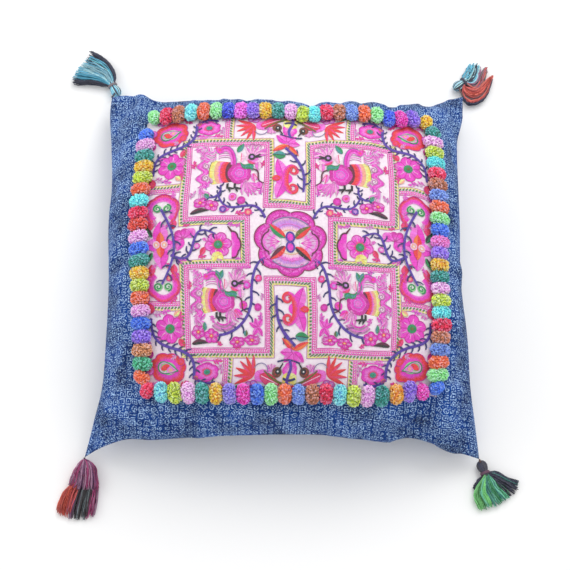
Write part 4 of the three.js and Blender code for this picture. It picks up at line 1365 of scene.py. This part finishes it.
class CUSHION_OT_embroider(bpy.types.Operator):
    """Stitches the braids, birds and flowers on the panel"""

    bl_idname = "cushion.embroider"
    bl_label = "Embroider Panel"

    def execute(self, context):
        settings = context.scene.cushion_panel
        floss = yarn("embroidery_floss", twist=3.0, shine=0.22, fuzz=0.35)

        def work(seed):
            return Stitches(settings.thread_pitch / MM, settings.thread_width / MM, seed)

        braid, birds, centre, border = work(11), work(12), work(13), work(14)
        stitch_braid(Needle(braid), STEPPED_CROSS)
        for ends in EDGE_BRAIDS:
            stitch_braid(Needle(braid), ends, closed=False)
        for mirrored in (False, True):
            stitch_far_square(Needle(birds, mirrored=mirrored))
            stitch_near_square(Needle(birds, mirrored=mirrored))
            stitch_side_arm(Needle(centre, mirrored=mirrored))
            stitch_edge_cell(Needle(border, mirrored=mirrored))
            for flipped in (False, True):
                stitch_corner(Needle(border, mirrored=mirrored, flipped=flipped))
                stitch_end_cell(Needle(border, 1, 0, mirrored=mirrored, flipped=flipped))
        for turned in (False, True):
            stitch_arm(Needle(centre, mirrored=turned, flipped=turned))
            stitch_end_flower(Needle(border, mirrored=turned, flipped=turned))
        stitch_rosette(Needle(centre, 1.6, -0.7))
        for name, stitches in (("braid", braid), ("birds", birds), ("centre", centre), ("border", border)):
            finish_piece(stitches.piece(f"embroidery_{name}", floss), "embroidered_cotton")
        return {"FINISHED"}


# Pompom trim

# Half sizes of a pompom along, across and above the tape, and of one at a row's end, which is turned.
POMPOM, END_POMPOM = (7.7, 11.6, 6.3), (7.0, 9.0, 6.3)
POMPOM_LIFT, END_TURN, TUFTED_DEPTH = 5.9, 26, 1.62
GOLDEN_ANGLE = 2.399963


class PompomSettings(bpy.types.PropertyGroup):
    tufts: count_setting("Tufts", "Curled ends of yarn on one pompom", 200, 60, 400)
    tuft_radius: length_setting("Tuft radius", "Radius of one end of yarn", 0.00085, 0.0003, 0.002)
    tape: colour_setting("Tape", "Colour of the tape under the pompoms", (58, 60, 120))


def trim_place(side, along, inward):
    """Places in the panel's square along one side's trim."""
    edge = TRIM_LINE - inward
    along, edge = np.broadcast_arrays(np.asarray(along, float), edge)
    if side in ("far", "near"):
        return along, edge if side == "far" else -edge
    return (edge if side == "right" else -edge), along


def pompom(rng, side, along, is_end, turn_sign, rgb, settings):
    """One pompom of cut yarn: a dense core and its tufts, long across the trim. The core is coloured darker than the
    tufts, as painted shade deep between them.
    """
    place = (np.atleast_1d(x) for x in panel_flat(*trim_place(side, along, 0.0)))
    origin, run_u, run_v, normal = (a[0] for a in cover_frame(*place))
    run = run_u if side in ("far", "near") else run_v
    turn = math.radians(END_TURN * turn_sign if is_end else rng.uniform(-5, 5))
    axis_a = run * math.cos(turn) + np.cross(normal, run) * math.sin(turn)
    axis_b = unit(np.cross(normal, axis_a))
    half = np.array(END_POMPOM if is_end else POMPOM) * rng.uniform(0.95, 1.05, 3)
    centre = origin + normal * (TAPE_LOW + POMPOM_LIFT)
    count = settings.tufts
    k = np.arange(count) + 0.5
    lift = 1 - TUFTED_DEPTH * k / count
    angle = k * GOLDEN_ANGLE + rng.uniform(0, FULL_TURN)
    flat = np.sqrt(np.clip(1 - lift**2, 0, 1))
    way = np.stack([flat * np.cos(angle), flat * np.sin(angle), lift], -1)
    way = unit(way + 0.09 * rng.standard_normal(way.shape))
    boxy = way / np.linalg.norm(np.abs(way) ** 1.4, axis=1, keepdims=True) ** 0.45
    curl = unit(np.cross(way, rng.standard_normal(way.shape))) * rng.uniform(0.9, 1.7, (count, 1))
    surface = boxy * half * rng.uniform(0.92, 1.04, (count, 1))
    local = np.stack(
        [surface * 0.7, surface * 0.93 - curl * 0.3, surface + curl * 0.5, surface * 0.93 + curl * 1.3], 1)
    paths = centre + local[..., :1] * axis_a + local[..., 1:2] * axis_b + local[..., 2:] * normal
    radius = settings.tuft_radius / MM * rng.uniform(0.85, 1.15, (count, 1)) * np.array([[0.9, 1.0, 1.0, 0.75]])
    shades = random_shades(rng, rgb, count, 0.12, dark=0.06, pale=0.4) * 1.2
    tufts = strands(paths, radius, shades, turn=rng.uniform(0, 2))
    stations = np.linspace(-0.97, 0.97, 7)
    across = np.sqrt(1 - stations**2)
    core_path = centre + axis_b * (stations * half[1] * 0.82)[:, None]
    # The core's colour stays well below the tufts' lifted shades: painted shade that shows between the tufts.
    core = strands(core_path[None], (across * half[2] * 0.88)[None], [linear(rgb) * 0.95], sides=8)
    return [tufts, core]


class CUSHION_OT_sew_pompoms(bpy.types.Operator):
    """Sews the four rows of pompoms on their tape round the panel"""

    bl_idname = "cushion.sew_pompoms"
    bl_label = "Sew Pompoms"

    def execute(self, context):
        settings = context.scene.cushion_pompoms
        wool = yarn("pompom_wool", twist=1.0, shine=0.0, fuzz=0.6)
        for number, (side, (first, last, names)) in enumerate(TRIM_ROWS.items()):
            rng = np.random.default_rng(40 + number)
            names = names.split()
            parts = [self.tape(side, first, last, settings)]
            for n, name in enumerate(names):
                along = first + (last - first) * n / (len(names) - 1)
                is_end = n in (0, len(names) - 1)
                turn_sign = (1 if n == 0 else -1) * (-1 if side in ("near", "right") else 1)
                parts += pompom(rng, side, along, is_end, turn_sign, POMPOM_COLOURS[name], settings)
            finish_piece(gathered(f"pompoms_{side}", parts, wool), "pompom_yarn", f"pompom_trim_{side}")
        return {"FINISHED"}

    @staticmethod
    def tape(side, first, last, settings):
        """The strip of tape under one row of pompoms."""
        along = np.linspace(min(first, last) - 3, max(first, last) + 3, 60)
        edge = TAPE_WIDTH / 2
        rows = [
            panel_point(*trim_place(side, along, inward), np.full(60, height))
            for inward, height in ((edge, TAPE_LOW), (edge, TAPE_TOP), (-edge, TAPE_TOP), (-edge, TAPE_LOW))]
        points = np.stack(rows, 1).reshape(-1, 3)
        quads, across, lengthwise = tube(60, 4)
        if side in ("near", "right"):
            quads = quads[:, ::-1]
        return {
            "points": points, "quads": quads, "caps": None, "across": across, "along": lengthwise,
            "colours": np.repeat([linear(settings.tape)], len(points), 0),
        }


# Tassels

TASSEL_COLOURS = {
    "aqua": (112, 206, 236), "ice": (178, 232, 246), "ink": (26, 34, 66), "grey": (122, 112, 118),
    "heather": (176, 128, 160), "brick": (206, 74, 70), "coral": (232, 112, 96), "berry": (168, 42, 112),
    "plum": (120, 56, 112), "flame": (214, 74, 44), "coal": (34, 28, 34), "stone": (116, 130, 136),
    "jade": (40, 150, 92), "mint": (120, 214, 176), "sea": (52, 140, 130), "umber": (92, 58, 48), "wine": (92, 44, 76),
    "leaf": (122, 212, 124), "lagoon": (70, 170, 198),
}
HEAD_RADIUS, HEAD_HEIGHT = 6.0, 6.2
NECK_LENGTH, WRAP_START, WRAP_LENGTH, WRAP_TURNS, WRAP_RADIUS = 13.0, 7.0, 3.6, 4, 5.1

# Places along a head's axis and distances from it, in head radii.
HEAD_FORM = (
    (-0.99, 0.12), (-0.8, 0.62), (-0.4, 0.93), (0.1, 1.0), (0.6, 0.86), (1.0, 0.68),
    (NECK_LENGTH / HEAD_RADIUS, 0.66),
)

# Each lock: its share of the strands, its two edges on the table from the neck to the tips, its heights (where it
# starts, lowest and highest strand, and how much of that is left at the tips) and its colours from edge to edge.
TASSELS = {
    "far_left": {
        "head": (-201, 236), "aim": 120, "corner": (-1, 1), "balls": "aqua ice aqua ink", "wrap": "grey", "stem": "ink",
        "locks": [
            (0.9, [(-209.5, 243.5), (-214, 243.5), (-220, 244.5), (-230, 247), (-242, 246), (-254, 248)],
             [(-203.8, 247), (-202.5, 254), (-206.6, 265.5), (-217.8, 278.5), (-230, 286)], (6.2, 1, 11, 0.75),
             "ink ink lagoon lagoon lagoon aqua ice aqua ice ice aqua ice ink aqua ink ink"),
            (0.12, [(-204.5, 246), (-203.5, 253), (-208.5, 264), (-219, 276), (-230, 283)],
             [(-203, 247), (-201.5, 254), (-205.6, 266), (-217, 280), (-230, 288)], (6.2, 8, 12, 0.75), "ink"),
        ],
    },
    "far_right": {
        "head": (206, 243), "aim": 38, "corner": (1, 1), "balls": "ink ink ice", "wrap": "ink", "stem": "umber",
        "locks": [
            (0.42, [(211.5, 251), (211, 256), (214, 262), (219, 271)],
             [(216, 247.5), (223, 245), (229.6, 249.3), (232.2, 260), (234, 270)], (6.2, 1, 9, 0.75),
             "ink aqua ice aqua ink aqua ice aqua ink ice aqua ice heather"),
            (0.18, [(215, 248), (224, 243), (230.4, 249.3), (233.7, 260), (238, 268)],
             [(215, 246), (227, 239), (236.3, 246), (239, 255), (241.5, 263)], (6.2, 1, 7, 0.7),
             "heather grey brick heather coral grey"),
            (0.44, [(214, 247), (214.5, 242), (220, 240), (227, 239), (234, 244), (243, 254)],
             [(212, 244), (210.5, 233), (214.5, 222), (222, 218.5), (232.7, 223.8), (240.5, 232.8), (247.2, 251.7)],
             (6.2, 1, 9, 0.75),
             "brick coral brick flame brick coral brick brick grey coral brick ink"),
        ],
    },
    "near_left": {
        "head": (-226, -219.5), "aim": -98, "corner": (-1, -1), "balls": "berry heather berry", "wrap": "plum",
        "stem": "coal",
        "locks": [
            (0.7,
             [(-226, -214), (-230, -218), (-236, -226), (-239.5, -238), (-249, -250), (-254.5, -264), (-255, -272)],
             [(-224, -214), (-218, -217), (-212, -224), (-209.8, -239), (-209, -252), (-210.6, -266), (-213, -277)],
             (9, 1, 8, 0.8), "flame brick flame brick brick plum coal stone coal stone coal berry berry heather"),
            (0.42, [(-226, -213.5), (-230, -217), (-236, -225), (-240, -234), (-243, -243)],
             [(-224, -213.5), (-218, -216), (-212, -223), (-209.5, -234), (-208.5, -247)],
             (11, 10, 14.5, 0.62), "heather berry heather plum heather berry heather plum berry"),
        ],
    },
    "near_right": {
        "head": (221.5, -220), "aim": -68, "corner": (1, -1), "balls": "ink ink coal", "wrap": "wine", "stem": "umber",
        "locks": [
            (0.14, [(223, -230.5), (217, -235), (211, -243)], [(228, -232), (223, -239), (215, -247)], (6.2, 1, 5, 0.8),
             "ink ink coal"),
            (0.3, [(227.5, -231), (234, -235), (240, -239), (247, -243), (257, -250)],
             [(227, -227), (236, -225), (243, -228), (250, -232), (261, -234.5)], (6.2, 1, 8, 0.7),
             "ink coal ink ink sea ink ink"),
            (0.62, [(224, -231), (219, -238), (213.5, -247), (212, -256), (217.7, -270)],
             [(229, -230.5), (236, -236), (243.5, -243), (250, -249), (254, -253)], (7.5, 3, 11, 0.6),
             "leaf leaf jade leaf mint leaf sea mint mint jade mint sea mint jade ink"),
        ],
    },
}


class TasselSettings(bpy.types.PropertyGroup):
    strands: count_setting("Strands", "Strands of yarn in one tassel", 300, 60, 600)
    strand_radius: length_setting("Strand radius", "Radius of one strand", 0.00068, 0.0002, 0.0015)


def heading(degrees):
    """Directions on the table at angles in degrees."""
    angle = np.radians(np.asarray(degrees, float))
    return np.stack([np.cos(angle), np.sin(angle), np.zeros_like(angle)], -1)


class CUSHION_OT_tie_tassels(bpy.types.Operator):
    """Ties a tassel at each corner"""

    bl_idname = "cushion.tie_tassels"
    bl_label = "Tie Tassels"

    def execute(self, context):
        settings = context.scene.cushion_tassels
        cotton = yarn("tassel_cotton", twist=6.0, shine=0.1, fuzz=0.5)
        for number, (name, tassel) in enumerate(TASSELS.items()):
            rng = np.random.default_rng(70 + number)
            parts = [*self.head(rng, tassel), *self.skirt(rng, tassel, settings)]
            finish_piece(gathered(f"tassel_{name}_yarn", parts, cotton), f"tassel_yarn_{name}", f"tassel_{name}")
            wrap = gathered(f"wrap_{name}_thread", [self.wrap(tassel)], cotton)
            finish_piece(wrap, "wrap_thread", f"tassel_wrap_{name}")
            stem = gathered(f"stem_{name}_yarn", self.stem(tassel), cotton)
            finish_piece(stem, "stem_yarn", f"tassel_stem_{name}")
        return {"FINISHED"}

    @staticmethod
    def axes(tassel):
        """The middle of the head, the tassel's own axis, and the two directions at right angles to it."""
        axis = heading(tassel["aim"])
        side = np.array([axis[1], -axis[0], 0])
        return np.array([*tassel["head"], HEAD_HEIGHT]), axis, side, np.array([0, 0, 1.0])

    def head(self, rng, tassel):
        """Strands wound over the ball, and the neck under them. The core beneath them is half the strands' mean colour,
        as painted shade between the strands.
        """
        centre, axis, side, up = self.axes(tassel)
        count = 34
        around = 2 * math.pi * np.arange(count) / count + rng.uniform(-0.06, 0.06, count)
        at, out = np.array(HEAD_FORM).T
        at, out = at * HEAD_RADIUS, out * (HEAD_RADIUS - 0.6)
        paths = centre + axis * at[:, None] + circled(side, up, around)[:, None] * out[:, None]
        names = tassel["balls"].split()
        picks = np.array([linear(TASSEL_COLOURS[n]) for n in names])[rng.integers(0, len(names), count)]
        picks = picks * (1 + 0.12 * rng.standard_normal((count, 1)))
        strand = strands(paths, 0.82, np.clip(picks, DARKEST, BRIGHTEST), sides=5)
        # The core at half the strands' mean colour is painted shade seen through the gaps between them.
        core = strands((centre + axis * at[:, None])[None], (out * 0.88)[None], [picks.mean(0) * 0.5], sides=10)
        return [strand, core]

    @staticmethod
    def skirt(rng, tassel, settings):
        """Locks of strands that spread over the table."""
        stations, fine = np.linspace(0, 1, 9), 30
        parts = []
        for amount, first, second, (start, low, high, tip), names in tassel["locks"]:
            count = round(settings.strands * amount)
            place = np.sort(rng.random(count))
            names = names.split()
            picks = np.clip((place * len(names) + rng.normal(0, 0.45, count)).astype(int), 0, len(names) - 1)
            base = np.array([linear(TASSEL_COLOURS[n]) for n in names])[picks]
            colours = np.clip(base * (1 + 0.18 * rng.standard_normal((count, 1))), DARKEST, BRIGHTEST)
            at = stations * rng.uniform(0.84, 1.02, (count, 1)) * (1 + 0.08 * np.sin(math.pi * place))[:, None]
            index = np.clip((at * (fine - 1)).astype(int), 0, fine - 2)
            rest = (at * (fine - 1) - index)[..., None]
            left, right = (
                edge[index] * (1 - rest) + edge[index + 1] * rest
                for edge in (smooth(first, fine), smooth(second, fine)))

            def wave(size):
                turns, phase = rng.uniform(6, 15, (count, 1)), rng.uniform(0, FULL_TURN, (count, 1))
                return size * np.sin(stations * turns + phase) * np.minimum(stations * 2.5, 1)

            flat = left + (right - left) * place[:, None, None]
            flat = flat + heading(rng.uniform(0, 180, count))[:, None, :2] * wave(0.85)[..., None]
            level = rng.uniform(low, high, (count, 1)) * np.interp(stations, (0, 0.3, 1), (0, 1, tip))
            neck = (start + rng.uniform(-2.5, 2.5, (count, 1))) * np.interp(stations, (0, 0.3), (1, 0))
            height = level + neck + wave(0.5)
            paths = np.concatenate([flat, np.maximum(height, 0.8)[..., None]], -1)
            radius = settings.strand_radius / MM * rng.uniform(0.8, 1.2, (count, 1)) * np.linspace(1.05, 0.8, 9)
            parts.append(strands(paths, radius, colours))
        return parts

    def wrap(self, tassel):
        """Four turns of thread round the neck."""
        centre, axis, side, up = self.axes(tassel)
        t = np.linspace(0, 1, 72)
        along = WRAP_START + 0.5 + (WRAP_LENGTH - 1.0) * t
        path = centre + axis * along[:, None] + circled(side, up, 2 * math.pi * WRAP_TURNS * t) * WRAP_RADIUS
        return self.coil(path, 0.6, linear(TASSEL_COLOURS[tassel["wrap"]]))

    def stem(self, tassel):
        """Two plies twisted between the corner of the cover and the head."""
        centre, _, _, _ = self.axes(tassel)
        corner = cover_point(*tassel["corner"])
        way = unit(corner - centre)
        start, end = centre + way * (HEAD_RADIUS - 0.8), corner - way * 0.3
        side = unit(np.cross(way, [0, 0, 1.0]))
        up = np.cross(side, way)
        t = np.linspace(0, 1, 14)
        parts = []
        for phase in (0, math.pi):
            path = start + (end - start) * t[:, None]
            path = path + circled(side, up, phase + 2 * math.pi * 2 * t) * 0.55
            parts.append(self.coil(path, 0.7, linear(TASSEL_COLOURS[tassel["stem"]])))
        return parts

    @staticmethod
    def coil(path, radius, colour):
        """A thread along a winding path, with its ring turned by its own tangent."""
        tangent = unit(np.gradient(path, axis=0))
        lean = unit(path - path.mean(0))
        side = unit(np.cross(tangent, lean))
        up = np.cross(side, tangent)
        ring = circled(side[:, None], up[:, None], 2 * math.pi * np.arange(6) / 6)
        points = (path[:, None] + ring * radius).reshape(-1, 3)
        quads, across, along = tube(len(path), 6, len(path))
        return {
            "points": points, "quads": quads, "caps": (len(path) - 1) * 6 + np.arange(6)[None],
            "colours": np.repeat([colour], len(points), 0), "across": across, "along": along,
        }


# Stage

FLOOR_REACH = 2500.0
VIEW_TARGET = (0, -0.0185, 0.045)

# Each light's name, place in metres, width in metres and share of the main light's power.
LIGHTS = (("key", (0.7, 1.3, 1.7), 1.4, 1.0), ("fill", (-1.9, 0.6, 1.1), 1.5, 0.5))


class StageSettings(bpy.types.PropertyGroup):
    floor: colour_setting("Floor", "Colour of the floor", (250, 250, 250))
    sky: bpy.props.FloatProperty(
        name="Sky", description="Strength of the even light from all round", default=0.8, min=0, max=5)
    key: bpy.props.FloatProperty(
        name="Main light", description="Power of the large soft light overhead", default=22.0, min=0, unit="POWER")
    elevation: bpy.props.FloatProperty(
        name="View elevation", description="Height of the view above the floor", default=math.radians(72),
        subtype="ANGLE")
    distance: length_setting("View distance", "From the camera to the cushion", 2.45, 0.5, 10)
    lens: bpy.props.FloatProperty(
        name="Lens", description="Focal length of the camera, in millimetres", default=136.2)


class CUSHION_OT_set_stage(bpy.types.Operator):
    """Sets the floor, the soft lights and the camera"""

    bl_idname = "cushion.set_stage"
    bl_label = "Set Stage"

    def execute(self, context):
        settings = context.scene.cushion_stage
        scene = context.scene
        finish = Finish("stage_floor")
        finish.finish(Base_Color=rgba(settings.floor), Roughness=0.9)
        square = [(x * FLOOR_REACH, y * FLOOR_REACH, 0) for x, y in ((-1, -1), (1, -1), (1, 1), (-1, 1))]
        floor = build_mesh("stage_floor", square, [np.array([[0, 1, 2, 3]])], {}, None, finish.material, False)
        world = bpy.data.worlds.new("soft_light")
        world.use_nodes = True
        background = world.node_tree.nodes["Background"]
        background.inputs["Color"].default_value = (1, 1, 1, 1)
        background.inputs["Strength"].default_value = settings.sky
        scene.world = world
        for name, place, size, share in LIGHTS:
            lamp = bpy.data.lights.new(name, "AREA")
            lamp.size, lamp.energy = size, settings.key * share
            light = bpy.data.objects.new(name, lamp)
            light.location = place
            light.rotation_euler = (-Vector(place)).to_track_quat("-Z", "Y").to_euler()
            scene.collection.objects.link(light)
        ahead = Vector((0, math.cos(settings.elevation), -math.sin(settings.elevation)))
        camera = bpy.data.objects.new("camera", bpy.data.cameras.new("camera"))
        camera.data.lens, camera.data.sensor_width = settings.lens, 36
        camera.location = Vector(VIEW_TARGET) - ahead * settings.distance
        camera.rotation_euler = ahead.to_track_quat("-Z", "Y").to_euler()
        scene.collection.objects.link(camera)
        scene.camera = camera
        scene.view_settings.view_transform = "Standard"
        return {"FINISHED"}


class CUSHION_PT_sewing(bpy.types.Panel):
    """Lists the pieces of the cushion"""

    bl_idname = "CUSHION_PT_sewing"
    bl_label = "Embroidered Cushion"
    bl_space_type = "VIEW_3D"
    bl_region_type = "UI"
    bl_category = "Cushion"

    def draw(self, context):
        for operator in OPERATORS:
            self.layout.operator(operator.bl_idname)


SETTINGS = {
    "cushion_cover": CushionCoverSettings,
    "cushion_panel": PanelSettings,
    "cushion_pompoms": PompomSettings,
    "cushion_tassels": TasselSettings,
    "cushion_stage": StageSettings,
}
OPERATORS = (
    CUSHION_OT_sew_cover, CUSHION_OT_lay_panel, CUSHION_OT_embroider, CUSHION_OT_sew_pompoms, CUSHION_OT_tie_tassels,
    CUSHION_OT_set_stage,
)


def register():
    for cls in (*SETTINGS.values(), *OPERATORS, CUSHION_PT_sewing):
        bpy.utils.register_class(cls)
    for name, cls in SETTINGS.items():
        setattr(bpy.types.Scene, name, bpy.props.PointerProperty(type=cls))


def unregister():
    for name in SETTINGS:
        delattr(bpy.types.Scene, name)
    for cls in reversed((*SETTINGS.values(), *OPERATORS, CUSHION_PT_sewing)):
        bpy.utils.unregister_class(cls)


def main():
    """Makes every piece."""
    register()
    bpy.ops.cushion.sew_cover()
    bpy.ops.cushion.lay_panel()
    bpy.ops.cushion.embroider()
    bpy.ops.cushion.sew_pompoms()
    bpy.ops.cushion.tie_tassels()
    bpy.ops.cushion.set_stage()


if __name__ == "__main__":
    main()
